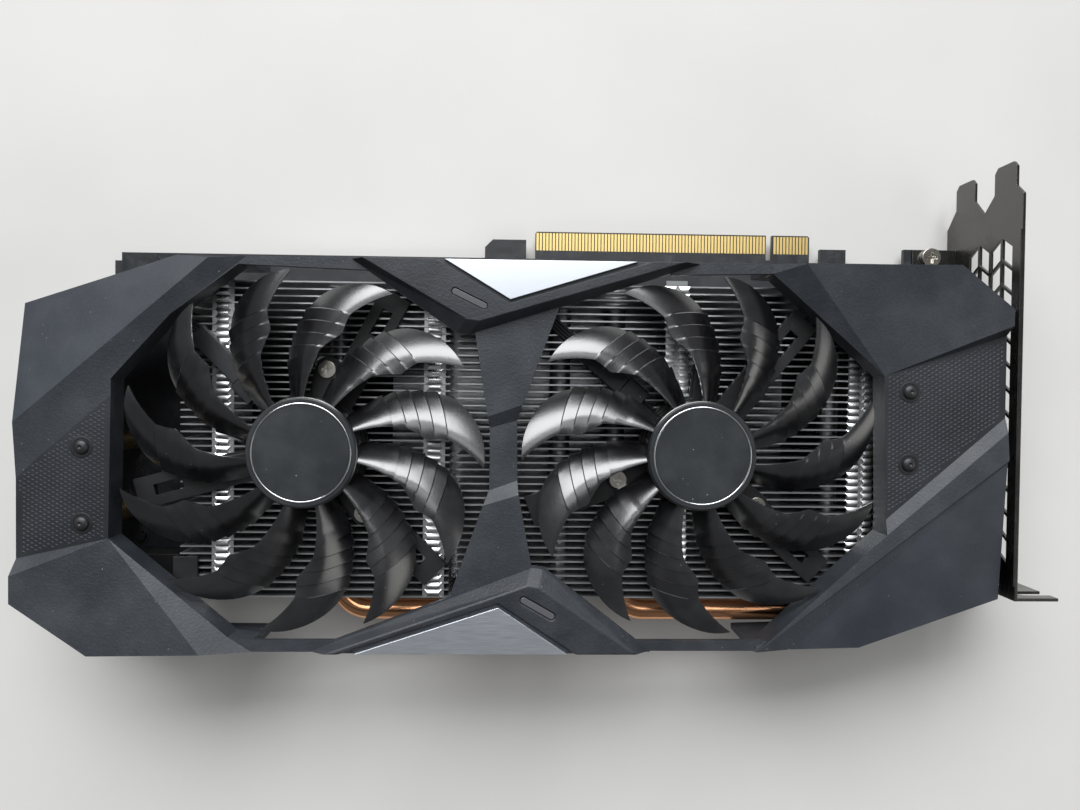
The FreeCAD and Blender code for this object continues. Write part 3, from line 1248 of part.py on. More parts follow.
def heatsink_parts():
    """Fins, pipes, plates and what holds them."""
    return {
        "left_fins": make_fins((LEFT_FINS_START, LEFT_FINS_END), LEFT_COLUMNS, ((LEFT_PIPE_X[0], 1),)),
        "right_fins": make_fins((RIGHT_FINS_START, RIGHT_FINS_END), RIGHT_COLUMNS,
                                ((LEFT_PIPE_X[1], -1), (RIGHT_PIPE_X[0], 1), (RIGHT_PIPE_X[1], -1))),
        "left_heat_pipe": make_heat_pipe(LEFT_PIPE_X),
        "right_heat_pipe": make_heat_pipe(RIGHT_PIPE_X),
        "base_plate": make_base_plate(),
        "cold_plate": centred_box((GPU_X, GPU_Y), (COLD_PLATE_SIDE, COLD_PLATE_SIDE),
                                  (BOARD_TOP + PACKAGE_HEIGHT + DIE_HEIGHT, FIN_LOW)),
        "spring_screws": make_spring_screws(),
        "heatsink_straps": make_heatsink_straps(),
    }


def board_parts():
    """Circuit board, its components and the backplate."""
    package_top = BOARD_TOP + PACKAGE_HEIGHT
    return {
        "circuit_board": make_board(),
        "edge_contacts": make_edge_contacts(),
        "chip_package": centred_box((GPU_X, GPU_Y), (PACKAGE_SIDE, PACKAGE_SIDE), (BOARD_TOP, package_top)),
        "chip_die": centred_box((GPU_X, GPU_Y), (DIE_SIDE, DIE_SIDE), (package_top, package_top + DIE_HEIGHT)),
        "memory_chips": make_memory((BOARD_TOP, BOARD_TOP + MEMORY_HEIGHT)),
        "memory_pads": make_memory((BOARD_TOP + MEMORY_HEIGHT, BASE_LOW)),
        "inductors": make_inductors(),
        "mosfets": make_mosfets(),
        "capacitors": make_capacitors(),
        "power_socket": make_power_socket(),
        "power_pins": make_power_pins(),
        "backplate": make_backplate(),
        "backplate_screws": make_backplate_screws(),
    }


def bracket_parts():
    """Mounting bracket with its sockets and screw."""
    return {
        "bracket": make_bracket(),
        "bracket_screw": make_bracket_screw(),
        "display_sockets": make_display_sockets(),
        "socket_tongues": make_socket_tongues(),
    }


def main():
    """Build every sub-part and write it."""
    os.makedirs("parts", exist_ok=True)
    for group in (shroud_parts, fan_parts, heatsink_parts, board_parts, bracket_parts):
        for name, shape in group().items():
            export(name, shape)


main()
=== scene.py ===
"""Dual-fan graphics card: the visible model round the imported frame, with its floor, lights and camera."""

import logging
import math
from dataclasses import dataclass
from enum import Enum
from typing import Sequence

import bmesh
import bpy
import numpy as np
from mathutils import Matrix, Vector


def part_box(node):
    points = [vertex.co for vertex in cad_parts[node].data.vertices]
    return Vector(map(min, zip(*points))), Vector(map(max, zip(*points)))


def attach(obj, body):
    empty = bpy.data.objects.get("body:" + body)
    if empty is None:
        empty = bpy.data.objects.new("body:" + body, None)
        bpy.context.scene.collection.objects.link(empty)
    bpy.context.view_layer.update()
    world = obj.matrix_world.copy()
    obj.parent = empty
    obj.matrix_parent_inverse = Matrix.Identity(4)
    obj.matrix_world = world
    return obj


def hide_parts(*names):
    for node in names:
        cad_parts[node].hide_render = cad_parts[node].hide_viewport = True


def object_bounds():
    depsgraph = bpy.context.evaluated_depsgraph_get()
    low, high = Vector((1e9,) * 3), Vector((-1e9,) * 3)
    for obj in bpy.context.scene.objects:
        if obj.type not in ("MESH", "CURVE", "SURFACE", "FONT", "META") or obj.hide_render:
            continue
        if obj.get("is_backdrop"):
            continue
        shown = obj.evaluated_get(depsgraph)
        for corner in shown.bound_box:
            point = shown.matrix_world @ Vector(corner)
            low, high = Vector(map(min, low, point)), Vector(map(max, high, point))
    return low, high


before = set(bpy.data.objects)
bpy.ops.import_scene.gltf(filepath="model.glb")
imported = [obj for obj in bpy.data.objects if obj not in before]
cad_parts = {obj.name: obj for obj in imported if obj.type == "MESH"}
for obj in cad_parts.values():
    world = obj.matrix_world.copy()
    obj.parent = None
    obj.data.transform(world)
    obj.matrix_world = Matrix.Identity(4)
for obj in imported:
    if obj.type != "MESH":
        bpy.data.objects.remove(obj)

LOG = logging.getLogger("graphics_card")
MM = 0.001
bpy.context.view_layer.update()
Plan = Sequence[float]
Socket = bpy.types.NodeSocket
GridMesh = tuple[np.ndarray, np.ndarray]
LooseMesh = tuple[np.ndarray, list]


# ------------------------------------------------------------------ measures taken from the frame
def centre_of(node: str) -> np.ndarray:
    """Middle of a node's box, in millimetres."""
    low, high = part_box(node)
    return (np.array(low) + np.array(high)) / 2 / MM


def low_of(node: str) -> np.ndarray:
    """Lowest corner of a node's box, in millimetres."""
    return np.array(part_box(node)[0]) / MM


def high_of(node: str) -> np.ndarray:
    """Highest corner of a node's box, in millimetres."""
    return np.array(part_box(node)[1]) / MM


def node_points(node: str) -> np.ndarray:
    """Points of a frame node's mesh, in millimetres.

    Args:
        node: name of the frame node.

    Returns:
        One row a point.
    """
    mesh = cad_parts[node].data
    points = np.zeros(len(mesh.vertices) * 3)
    mesh.vertices.foreach_get("co", points)
    return points.reshape(-1, 3) / MM


def face_centres(piece: bpy.types.Object) -> np.ndarray:
    """Middles of a piece's faces, in millimetres.

    Args:
        piece: the piece.

    Returns:
        One row a face.
    """
    centres = np.zeros(len(piece.data.polygons) * 3)
    piece.data.polygons.foreach_get("center", centres)
    return centres.reshape(-1, 3) / MM


def polar(centre: Plan, radius: float, degrees: float) -> np.ndarray:
    """Plan point at a distance and angle from a centre.

    Args:
        centre: plan point.
        radius: distance from it, in millimetres.
        degrees: angle from +X.

    Returns:
        The plan point.
    """
    angle = math.radians(degrees)
    return np.array([centre[0] + radius * math.cos(angle), centre[1] + radius * math.sin(angle)])


def inside(polygon: np.ndarray, points: np.ndarray) -> np.ndarray:
    """Even-odd test of plan points against a polygon.

    Args:
        polygon: corners, one row each.
        points: plan points, one row each.

    Returns:
        One boolean a point.
    """
    start, end = polygon, np.roll(polygon, -1, axis=0)
    x, y = points[:, :1], points[:, 1:2]
    spans = (start[:, 1] > y) != (end[:, 1] > y)
    rise = np.where(end[:, 1] == start[:, 1], 1e-9, end[:, 1] - start[:, 1])
    crossing = start[:, 0] + (y - start[:, 1]) / rise * (end[:, 0] - start[:, 0])
    return (np.sum(spans & (x < crossing), axis=1) % 2) == 1


def edge_distance(polygon: np.ndarray, points: np.ndarray) -> np.ndarray:
    """Least distance from each plan point to the sides of a polygon.

    Args:
        polygon: corners, one row each.
        points: plan points, one row each.

    Returns:
        One distance a point.
    """
    start, end = polygon[None], np.roll(polygon, -1, axis=0)[None]
    run = end - start
    share = np.sum((points[:, None] - start) * run, axis=2) / np.sum(run * run, axis=2)
    nearest = start + np.clip(share, 0, 1)[:, :, None] * run
    return np.min(np.linalg.norm(points[:, None] - nearest, axis=2), axis=1)


# ------------------------------------------------------------------ mesh work
def grid_quads(rows: int, columns: int, wrap: bool) -> np.ndarray:
    """Quads of a grid of points.

    Args:
        rows: number of rows of points.
        columns: number of points in a row.
        wrap: True where each row closes on itself.

    Returns:
        Four corner indices a quad, row after row.
    """
    last = columns if wrap else columns - 1
    row, column = np.meshgrid(np.arange(rows - 1), np.arange(last), indexing="ij")
    ahead = (column + 1) % columns
    this_row, next_row = row * columns, (row + 1) * columns
    corners = [this_row + column, this_row + ahead, next_row + ahead, next_row + column]
    return np.stack(corners, axis=-1).reshape(-1, 4)


def fused(parts: Sequence[LooseMesh]) -> LooseMesh:
    """One set of points and faces from several.

    Args:
        parts: points and faces of each part.

    Returns:
        All points and all faces.
    """
    points, faces, offset = [], [], 0
    for part_points, part_faces in parts:
        points.append(part_points)
        faces += [[index + offset for index in face] for face in part_faces]
        offset += len(part_points)
    return np.concatenate(points), faces


def repeated(faces: np.ndarray, copies: np.ndarray) -> GridMesh:
    """The same faces for many copies of a set of points.

    Args:
        faces: corner indices of one copy.
        copies: points of every copy, shaped (copies, points, 3).

    Returns:
        All points and all faces.
    """
    offsets = np.arange(len(copies))[:, None, None] * copies.shape[1]
    return copies.reshape(-1, 3), (faces[None] + offsets).reshape(-1, faces.shape[1])


def piece_from(name: str, points: np.ndarray, faces: Sequence, tidy: bool = True) -> bpy.types.Object:
    """New object from points in millimetres.

    Args:
        name: name of the piece.
        points: one row a point, in millimetres.
        faces: corner indices of each face.
        tidy: True to merge doubles and turn the faces outwards.

    Returns:
        The linked object.
    """
    mesh = bpy.data.meshes.new(name)
    mesh.from_pydata((np.asarray(points) * MM).tolist(), [], [list(map(int, face)) for face in faces])
    if tidy:
        work = bmesh.new()
        work.from_mesh(mesh)
        bmesh.ops.remove_doubles(work, verts=work.verts, dist=1e-7)
        bmesh.ops.recalc_face_normals(work, faces=work.faces)
        work.to_mesh(mesh)
        work.free()
    piece = bpy.data.objects.new(name, mesh)
    bpy.context.scene.collection.objects.link(piece)
    return piece


def lathe(centre: Plan, profile: Sequence[tuple[float, float]], segments: int = 96) -> LooseMesh:
    """A closed profile turned about an upright axis.

    x = cx + r cos a, y = cy + r sin a, and z is the height of the profile.

    Args:
        centre: plan point of the axis.
        profile: radius and height of each corner, in millimetres.
        segments: number of steps round the axis.

    Returns:
        Points and faces.
    """
    outline = np.array(profile)
    angle = np.linspace(0, 2 * np.pi, segments, endpoint=False)
    x = centre[0] + outline[:, :1] * np.cos(angle)
    y = centre[1] + outline[:, :1] * np.sin(angle)
    z = np.repeat(outline[:, 1:], segments, axis=1)
    points = np.stack([x, y, z], axis=-1)
    points = np.concatenate([points, points[:1]])
    return points.reshape(-1, 3), grid_quads(len(points), segments, True).tolist()


def tube(path: np.ndarray, radius: float, sides: int = 12) -> LooseMesh:
    """A circle carried along a path: each ring lies square to the path, turned as little as possible.

    Args:
        path: points of the centre line.
        radius: radius of the tube.
        sides: number of points round it.

    Returns:
        Points and faces, with both ends closed.
    """
    heading = np.gradient(path, axis=0)
    heading /= np.linalg.norm(heading, axis=1)[:, None]
    side = np.cross(heading, np.array([0.0, 0.0, 1.0]))
    length = np.linalg.norm(side, axis=1)[:, None]
    side = np.where(length > 0.2, side / np.maximum(length, 1e-9), np.nan)
    known = np.flatnonzero(~np.isnan(side[:, 0]))
    nearest = known[np.argmin(np.abs(np.arange(len(path))[:, None] - known[None]), axis=1)]
    side = side[nearest]
    side -= heading * np.sum(side * heading, axis=1)[:, None]
    side /= np.linalg.norm(side, axis=1)[:, None]
    rise = np.cross(side, heading)
    angle = np.linspace(0, 2 * np.pi, sides, endpoint=False)
    ring = side[:, None] * np.cos(angle)[None, :, None] + rise[:, None] * np.sin(angle)[None, :, None]
    points = (path[:, None] + radius * ring).reshape(-1, 3)
    faces = grid_quads(len(path), sides, True).tolist()
    faces += [list(range(sides)), list(range(len(points) - sides, len(points)))]
    return points, faces


def rounded_route(corners: np.ndarray, bend: float, steps: int = 10) -> np.ndarray:
    """Straight runs joined by arcs tangent to both.

    A corner's arc has its middle on the corner's bisector, at bend / sin of half the corner's angle from it.

    Args:
        corners: points where the straight runs would meet, ends included.
        bend: radius of the arcs.
        steps: points on each arc.

    Returns:
        One row a point of the line.
    """
    line = [corners[0]]
    for before, corner, after in zip(corners, corners[1:], corners[2:]):
        back = (before - corner) / np.linalg.norm(before - corner)
        ahead = (after - corner) / np.linalg.norm(after - corner)
        half = math.acos(float(np.clip(back @ ahead, -1, 1))) / 2
        middle = corner + (back + ahead) / np.linalg.norm(back + ahead) * bend / math.sin(half)
        start, end = corner + back * bend / math.tan(half), corner + ahead * bend / math.tan(half)
        turn = np.linspace(0, 1, steps)[:, None]
        arc = (start - middle) * (1 - turn) + (end - middle) * turn
        line += list(middle + arc / np.linalg.norm(arc, axis=1)[:, None] * bend)
    line.append(corners[-1])
    return np.array(line)


def softened_copy(node: str, name: str, width: float, segments: int = 2,
                  least: float = 12.0) -> bpy.types.Object:
    """Copy of a frame node with merged faces and rounded edges.

    Args:
        node: name of the frame node.
        name: name of the new piece.
        width: width of the rounding, in millimetres.
        segments: steps across the rounding.
        least: smallest fold, in degrees, that is rounded.

    Returns:
        The new piece, which stands for the node.
    """
    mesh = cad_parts[node].data.copy()
    mesh.name = name
    mesh.materials.clear()
    work = bmesh.new()
    work.from_mesh(mesh)
    bmesh.ops.remove_doubles(work, verts=work.verts, dist=1e-6)
    bmesh.ops.dissolve_limit(work, angle_limit=math.radians(0.6), verts=work.verts, edges=work.edges)
    folds = [edge for edge in work.edges
             if len(edge.link_faces) == 2 and edge.calc_face_angle(0.0) > math.radians(least)]
    bmesh.ops.bevel(work, geom=folds, offset=width * MM, offset_type="OFFSET", segments=segments, profile=0.5,
                    affect="EDGES", clamp_overlap=True)
    bmesh.ops.remove_doubles(work, verts=work.verts, dist=2e-7)
    work.to_mesh(mesh)
    work.free()
    piece = bpy.data.objects.new(name, mesh)
    bpy.context.scene.collection.objects.link(piece)
    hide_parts(node)
    return piece


def shade(piece: bpy.types.Object, degrees: float = 32.0, weighted: bool = False) -> None:
    """Smooth shading with sharp edges past an angle.

    Args:
        piece: the piece.
        degrees: fold past which an edge stays sharp.
        weighted: True to keep flat faces flat beside a rounded edge.
    """
    piece.data.shade_smooth()
    piece.data.set_sharp_from_angle(angle=math.radians(degrees))
    if weighted:
        modifier = piece.modifiers.new("flat_faces", "WEIGHTED_NORMAL")
        modifier.keep_sharp = True


# ------------------------------------------------------------------ finishes
class Axis(Enum):
    """Direction of a brushed or drawn grain."""

    X = (1.0, 0.04, 0.04)
    Y = (0.04, 1.0, 0.04)
    ALL = (1.0, 1.0, 1.0)


class Recipe:
    """Writes a material's nodes; every pattern reads object coordinates in metres."""

    def __init__(self, name: str) -> None:
        """Start a material with one principled shader."""
        self.material = bpy.data.materials.new(name)
        self.material.use_nodes = True
        self.tree = self.material.node_tree
        self.shader = self.tree.nodes["Principled BSDF"]
        self.place = self.tree.nodes.new("ShaderNodeTexCoord").outputs["Object"]

    def feed(self, socket: Socket, value: object) -> None:
        """Link a socket to another one, or give it a value."""
        if isinstance(value, Socket):
            self.tree.links.new(value, socket)
        else:
            socket.default_value = value

    def node(self, kind: str, inputs: dict[str, object], **settings: object) -> bpy.types.Node:
        """Add a node.

        Args:
            kind: type of the node.
            inputs: a value or a socket for each named input.
            settings: the node's own settings.

        Returns:
            The new node.
        """
        node = self.tree.nodes.new(kind)
        for key, value in settings.items():
            setattr(node, key, value)
        for key, value in inputs.items():
            self.feed(node.inputs[key], value)
        return node

    def stretched(self, axis: Axis) -> Socket:
        """Coordinates scaled by the axis, so that a pattern becomes streaks along the grain."""
        scale = tuple(Axis.X.value[1] / part for part in axis.value)
        return self.node("ShaderNodeMapping", {"Vector": self.place, "Scale": scale}).outputs["Vector"]

    def noise(self, size: float, detail: float = 3.0, vector: Socket | None = None,
              distortion: float = 0.0) -> Socket:
        """Noise.

        Args:
            size: size of its features, in millimetres.
            detail: number of finer layers.
            vector: coordinates other than the object's own.
            distortion: how far it is warped.

        Returns:
            Its value, from 0 to 1.
        """
        inputs = {"Vector": vector or self.place, "Scale": 1 / MM / size,
                  "Detail": detail, "Distortion": distortion}
        return self.node("ShaderNodeTexNoise", inputs).outputs["Fac"]

    def cells(self, size: float, feature: str = "F1", metric: str = "EUCLIDEAN") -> bpy.types.Node:
        """Cell pattern.

        Args:
            size: size of a cell, in millimetres.
            feature: what the pattern measures.
            metric: how it measures distance.

        Returns:
            The pattern's node.
        """
        inputs = {"Vector": self.place, "Scale": 1 / MM / size}
        return self.node("ShaderNodeTexVoronoi", inputs, feature=feature, distance=metric)

    def maths(self, operation: str, first: float | Socket, second: float | Socket) -> Socket:
        """Arithmetic on two values.

        Args:
            operation: what is done with them.
            first: first value.
            second: second value.

        Returns:
            The result.
        """
        node = self.tree.nodes.new("ShaderNodeMath")
        node.operation = operation
        for socket, value in zip(node.inputs, (first, second)):
            self.feed(socket, value)
        return node.outputs["Value"]

    def span(self, value: Socket, low: float, high: float, to_low: float, to_high: float) -> Socket:
        """Value carried from one range to another, held at the ends.

        Args:
            value: the value.
            low: start of its range.
            high: end of its range.
            to_low: start of the new range.
            to_high: end of the new range.

        Returns:
            The new value.
        """
        inputs = {"Value": value, "From Min": low, "From Max": high, "To Min": to_low, "To Max": to_high}
        return self.node("ShaderNodeMapRange", inputs, clamp=True).outputs["Result"]

    def blend(self, factor: float | Socket, first: tuple | Socket, second: tuple | Socket) -> Socket:
        """Colour between two colours.

        Args:
            factor: share of the second colour.
            first: colour where the factor is 0.
            second: colour where the factor is 1.

        Returns:
            The blended colour.
        """
        node = self.tree.nodes.new("ShaderNodeMix")
        node.data_type = "RGBA"
        sockets = (node.inputs["Factor"], node.inputs[6], node.inputs[7])
        for socket, value in zip(sockets, (factor, first, second)):
            self.feed(socket, (*value, 1.0) if isinstance(value, tuple) else value)
        return node.outputs[2]

    def bump(self, height: Socket, depth: float) -> Socket:
        """Relief of a depth in millimetres."""
        inputs = {"Height": height, "Distance": depth * MM, "Strength": 1.0}
        return self.node("ShaderNodeBump", inputs).outputs["Normal"]

    def set(self, **values: object) -> None:
        """Set or link the shader's own sockets; underscores stand for spaces."""
        for key, value in values.items():
            socket = self.shader.inputs[key.replace("_", " ")]
            self.feed(socket, (*value, 1.0) if isinstance(value, tuple) else value)

    def dusted(self, colour: Socket, amount: float, size: float = 1.3) -> Socket:
        """Pale specks of random size in some of the cells, and a faint haze, over a colour.

        Args:
            colour: colour under the dust.
            amount: share of dust.
            size: size of a cell, in millimetres.

        Returns:
            The dusted colour.
        """
        cells = self.cells(size)
        split = self.node("ShaderNodeSeparateColor", {"Color": cells.outputs["Color"]}).outputs
        reach = self.maths("MULTIPLY", self.maths("POWER", split[0], 7.0), 0.15 * amount)
        speck = self.maths("LESS_THAN", cells.outputs["Distance"], reach)
        haze = self.span(self.noise(9.0, 4.0), 0.45, 0.75, 0.0, 0.05 * amount)
        cover = self.maths("MAXIMUM", self.maths("MULTIPLY", speck, 0.6), haze)
        return self.blend(cover, colour, (0.42, 0.43, 0.45))


@dataclass(frozen=True)
class MouldedPlastic:
    """Moulded plastic with a leather grain, soft colour change, dust and painted shade in the pits of the
    grain.

    Attributes:
        name: name of the material.
        colour: base colour.
        roughness: middle roughness.
        grain: size of the grain, in millimetres.
        depth: depth of the grain, in millimetres.
        dust: amount of pale specks.
        gloss: specular level.
        coat: weight of a clear skin.
    """

    name: str
    colour: tuple[float, float, float]
    roughness: float = 0.5
    grain: float = 0.55
    depth: float = 0.035
    dust: float = 1.0
    gloss: float = 0.5
    coat: float = 0.0

    def make(self) -> bpy.types.Material:
        """Build the material."""
        recipe = Recipe(self.name)
        cloud = recipe.noise(22.0, 4.0)
        lighter = tuple(min(1.0, part * 1.35 + 0.004) for part in self.colour)
        pebbles = recipe.cells(self.grain, "SMOOTH_F1").outputs["Distance"]
        fine = recipe.noise(self.grain * 0.45, 2.0)
        relief = recipe.maths("ADD", pebbles, recipe.maths("MULTIPLY", fine, 0.6))
        tone = recipe.blend(recipe.span(cloud, 0.35, 0.7, 0.0, 1.0), self.colour, lighter)
        # painted shade: the colour goes up to 22 % towards black in the low pits of the grain, where the bump
        # sinks
        tone = recipe.blend(recipe.span(pebbles, 0.2, 0.75, 0.22, 0.0), tone, (0.0, 0.0, 0.0))
        recipe.set(
            Base_Color=recipe.dusted(tone, self.dust),
            Roughness=recipe.span(cloud, 0.3, 0.75, self.roughness - 0.06, self.roughness + 0.08),
            Normal=recipe.bump(relief, self.depth),
            Specular_IOR_Level=self.gloss,
            Coat_Weight=self.coat,
            Coat_Roughness=0.24,
        )
        return recipe.material


@dataclass(frozen=True)
class BrushedMetal:
    """Metal with a fine directional grain and faint stains.

    Attributes:
        name: name of the material.
        colour: colour of the metal.
        stain: colour of its stains.
        roughness: middle roughness.
        axis: direction of the grain.
        depth: depth of the grain, in millimetres.
        mottle: how much rougher its stains are.
    """

    name: str
    colour: tuple[float, float, float]
    stain: tuple[float, float, float]
    roughness: float = 0.3
    axis: Axis = Axis.X
    depth: float = 0.004
    mottle: float = 0.1

    def make(self) -> bpy.types.Material:
        """Build the material."""
        recipe = Recipe(self.name)
        streaks = recipe.noise(0.25, 5.0, recipe.stretched(self.axis))
        cloud = recipe.noise(11.0, 5.0, distortion=0.6)
        tone = recipe.blend(recipe.span(cloud, 0.5, 0.8, 0.0, 0.55), self.colour, self.stain)
        tone = recipe.blend(recipe.span(streaks, 0.3, 0.7, 0.16, 0.0), tone, self.stain)
        stained = recipe.span(cloud, 0.4, 0.8, self.roughness - 0.4 * self.mottle, self.roughness + self.mottle)
        rough = recipe.maths("ADD", stained, recipe.span(streaks, 0.3, 0.7, -0.03, 0.05))
        recipe.set(Base_Color=tone, Roughness=rough, Metallic=1.0, Normal=recipe.bump(streaks, self.depth))
        return recipe.material


@dataclass(frozen=True)
class BoardLaminate:
    """Circuit board lacquer with faint right-angled tracks and pads.

    Attributes:
        name: name of the material.
        colour: colour of the lacquer.
        track: colour over the tracks.
    """

    name: str
    colour: tuple[float, float, float]
    track: tuple[float, float, float]

    def make(self) -> bpy.types.Material:
        """Build the material."""
        recipe = Recipe(self.name)
        cells = recipe.cells(5.0, "F1", "MANHATTAN").outputs["Distance"]
        bands = recipe.maths("FRACT", recipe.maths("MULTIPLY", cells, 7.0), 0.0)
        tracks = recipe.span(bands, 0.42, 0.5, 0.0, 1.0)
        tone = recipe.blend(recipe.maths("MULTIPLY", tracks, 0.5), self.colour, self.track)
        recipe.set(
            Base_Color=recipe.dusted(tone, 0.5),
            Roughness=recipe.span(recipe.noise(6.0), 0.3, 0.7, 0.28, 0.42),
            Normal=recipe.bump(tracks, 0.02),
        )
        return recipe.material


@dataclass(frozen=True)
class PaleFloor:
    """Plain pale ground with the faintest tone change."""

    name: str = "pale_floor"

    def make(self) -> bpy.types.Material:
        """Build the material."""
        recipe = Recipe(self.name)
        cloud = recipe.span(recipe.noise(60.0, 5.0), 0.3, 0.7, 0.0, 1.0)
        tone = recipe.blend(cloud, (0.64, 0.63, 0.61), (0.68, 0.67, 0.65))
        recipe.set(Base_Color=tone, Roughness=0.55)
        return recipe.material


class Finish(Enum):
    """Every finish of the card."""

    SHROUD = MouldedPlastic("shroud_grain", (0.022, 0.026, 0.033), 0.5, 0.6, 0.05, 0.7)
    SHROUD_SMOOTH = MouldedPlastic("shroud_smooth", (0.026, 0.032, 0.042), 0.45, 0.35, 0.012, 0.6)
    # painted shade: the ground between the studs is a darker copy of the shroud plastic
    KNURL_GROUND = MouldedPlastic("knurl_ground_painted_shade", (0.012, 0.014, 0.018), 0.5, 0.5, 0.02, 0.3)
    # the studs are a lighter copy of the same plastic, partly dust and partly painted highlight on their edges
    KNURL = MouldedPlastic("knurl_studs_dust_and_highlight", (0.034, 0.039, 0.048), 0.4, 0.5, 0.006, 0.8)
    WING = MouldedPlastic("wing_grain", (0.020, 0.023, 0.029), 0.48, 0.6, 0.05, 0.7)
    INSERT = MouldedPlastic("smoked_insert", (0.025, 0.026, 0.03), 0.2, 0.8, 0.003, 0.4)
    INLAY = BrushedMetal("satin_inlay", (0.78, 0.82, 0.88), (0.74, 0.78, 0.84), 0.38, Axis.X, 0.002, 0.02)
    BLADE = MouldedPlastic("blade_black", (0.003, 0.003, 0.004), 0.25, 0.35, 0.016, 0.7, 1.0, 1.0)
    CAP = MouldedPlastic("cap_black", (0.016, 0.019, 0.022), 0.42, 0.3, 0.012, 0.9)
    FRAME_PLASTIC = MouldedPlastic("motor_frame", (0.007, 0.007, 0.008), 0.5, 0.5, 0.02, 0.5)
    COVER = MouldedPlastic("lead_cover", (0.018, 0.019, 0.022), 0.42, 0.5, 0.015, 0.9)
    RUBBER = MouldedPlastic("lead_rubber", (0.012, 0.012, 0.013), 0.55, 0.4, 0.01, 0.6)
    BLACK_SCREW = BrushedMetal("black_screw", (0.02, 0.02, 0.022), (0.05, 0.05, 0.05), 0.3, Axis.ALL, 0.004)
    RING = BrushedMetal("ring_silver", (0.82, 0.82, 0.84), (0.6, 0.6, 0.62), 0.18, Axis.ALL, 0.001)
    SCREW = BrushedMetal("screw_nickel", (0.72, 0.69, 0.62), (0.42, 0.38, 0.32), 0.24, Axis.ALL, 0.003)
    FINS = BrushedMetal("fin_aluminium", (0.92, 0.93, 0.94), (0.78, 0.79, 0.80), 0.34, Axis.X, 0.003)
    CLIPS = BrushedMetal("clip_aluminium", (0.88, 0.89, 0.89), (0.7, 0.71, 0.71), 0.3, Axis.ALL, 0.003)
    COPPER = BrushedMetal("drawn_copper", (0.82, 0.42, 0.22), (0.55, 0.24, 0.13), 0.22, Axis.X, 0.003)
    # painted shade: a dull grey stands for the dark gaps between the fins where the pipe runs inside the stack
    SOLDERED = BrushedMetal("pipe_painted_shade_in_fins", (0.34, 0.34, 0.35), (0.24, 0.24, 0.25), 0.42, Axis.Y, 0.004)
    GOLD = BrushedMetal("contact_gold", (0.66, 0.42, 0.13), (0.56, 0.34, 0.10), 0.38, Axis.Y, 0.002)
    BRASS = BrushedMetal("turned_brass", (0.75, 0.55, 0.25), (0.5, 0.36, 0.18), 0.28, Axis.ALL, 0.003)
    STEEL = BrushedMetal("plain_steel", (0.5, 0.5, 0.52), (0.32, 0.31, 0.3), 0.34, Axis.ALL, 0.004)
    # painted shade: the metal's colour is darkened far below that of nickel to stand for the dark surroundings
    # it reflects
    BRACKET = BrushedMetal("bracket_nickel_painted_dark", (0.13, 0.127, 0.123), (0.09, 0.088, 0.085), 0.25, Axis.Y, 0.004)
    BASE = BrushedMetal("milled_aluminium", (0.7, 0.71, 0.73), (0.5, 0.5, 0.52), 0.3, Axis.X, 0.006)
    BOARD = BoardLaminate("board_black", (0.012, 0.013, 0.016), (0.03, 0.032, 0.036))
    PACKAGE = BoardLaminate("package_green", (0.03, 0.10, 0.05), (0.05, 0.15, 0.08))
    SILICON = BrushedMetal("silicon", (0.3, 0.31, 0.36), (0.24, 0.25, 0.3), 0.12, Axis.ALL, 0.0005)
    CHIP = MouldedPlastic("chip_black", (0.014, 0.014, 0.015), 0.5, 0.3, 0.008, 0.4)
    CHOKE = MouldedPlastic("choke_grey", (0.10, 0.10, 0.105), 0.6, 0.25, 0.03, 0.3)
    PAD = MouldedPlastic("thermal_pad", (0.28, 0.3, 0.34), 0.8, 0.4, 0.02, 0.2)
    HEADER = MouldedPlastic("header_nylon", (0.6, 0.58, 0.5), 0.5, 0.6, 0.008, 0.3)
    SOCKET = MouldedPlastic("socket_black", (0.012, 0.012, 0.013), 0.48, 0.4, 0.01, 0.4)
    BACKPLATE = MouldedPlastic("backplate_coat", (0.014, 0.015, 0.018), 0.45, 0.22, 0.012, 0.4)
    MAGNET = MouldedPlastic("magnet_black", (0.03, 0.03, 0.03), 0.7, 0.3, 0.01, 0.0)

    def material(self) -> bpy.types.Material:
        """The finish's material, made once."""
        found = bpy.data.materials.get(self.value.name)
        return found or self.value.make()


def dress(piece: bpy.types.Object, *finishes: Finish) -> None:
    """Give a piece its finishes, in the order of its material indices."""
    piece.data.materials.clear()
    for finish in finishes:
        piece.data.materials.append(finish.material())


def placed(piece: bpy.types.Object, body: str) -> bpy.types.Object:
    """Let a finished piece ride on a body and report it.

    Args:
        piece: the finished piece.
        body: name of the body that carries it.

    Returns:
        The piece.
    """
    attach(piece, body)
    LOG.info("%s rides on %s: %d faces", piece.name, body, len(piece.data.polygons))
    return piece


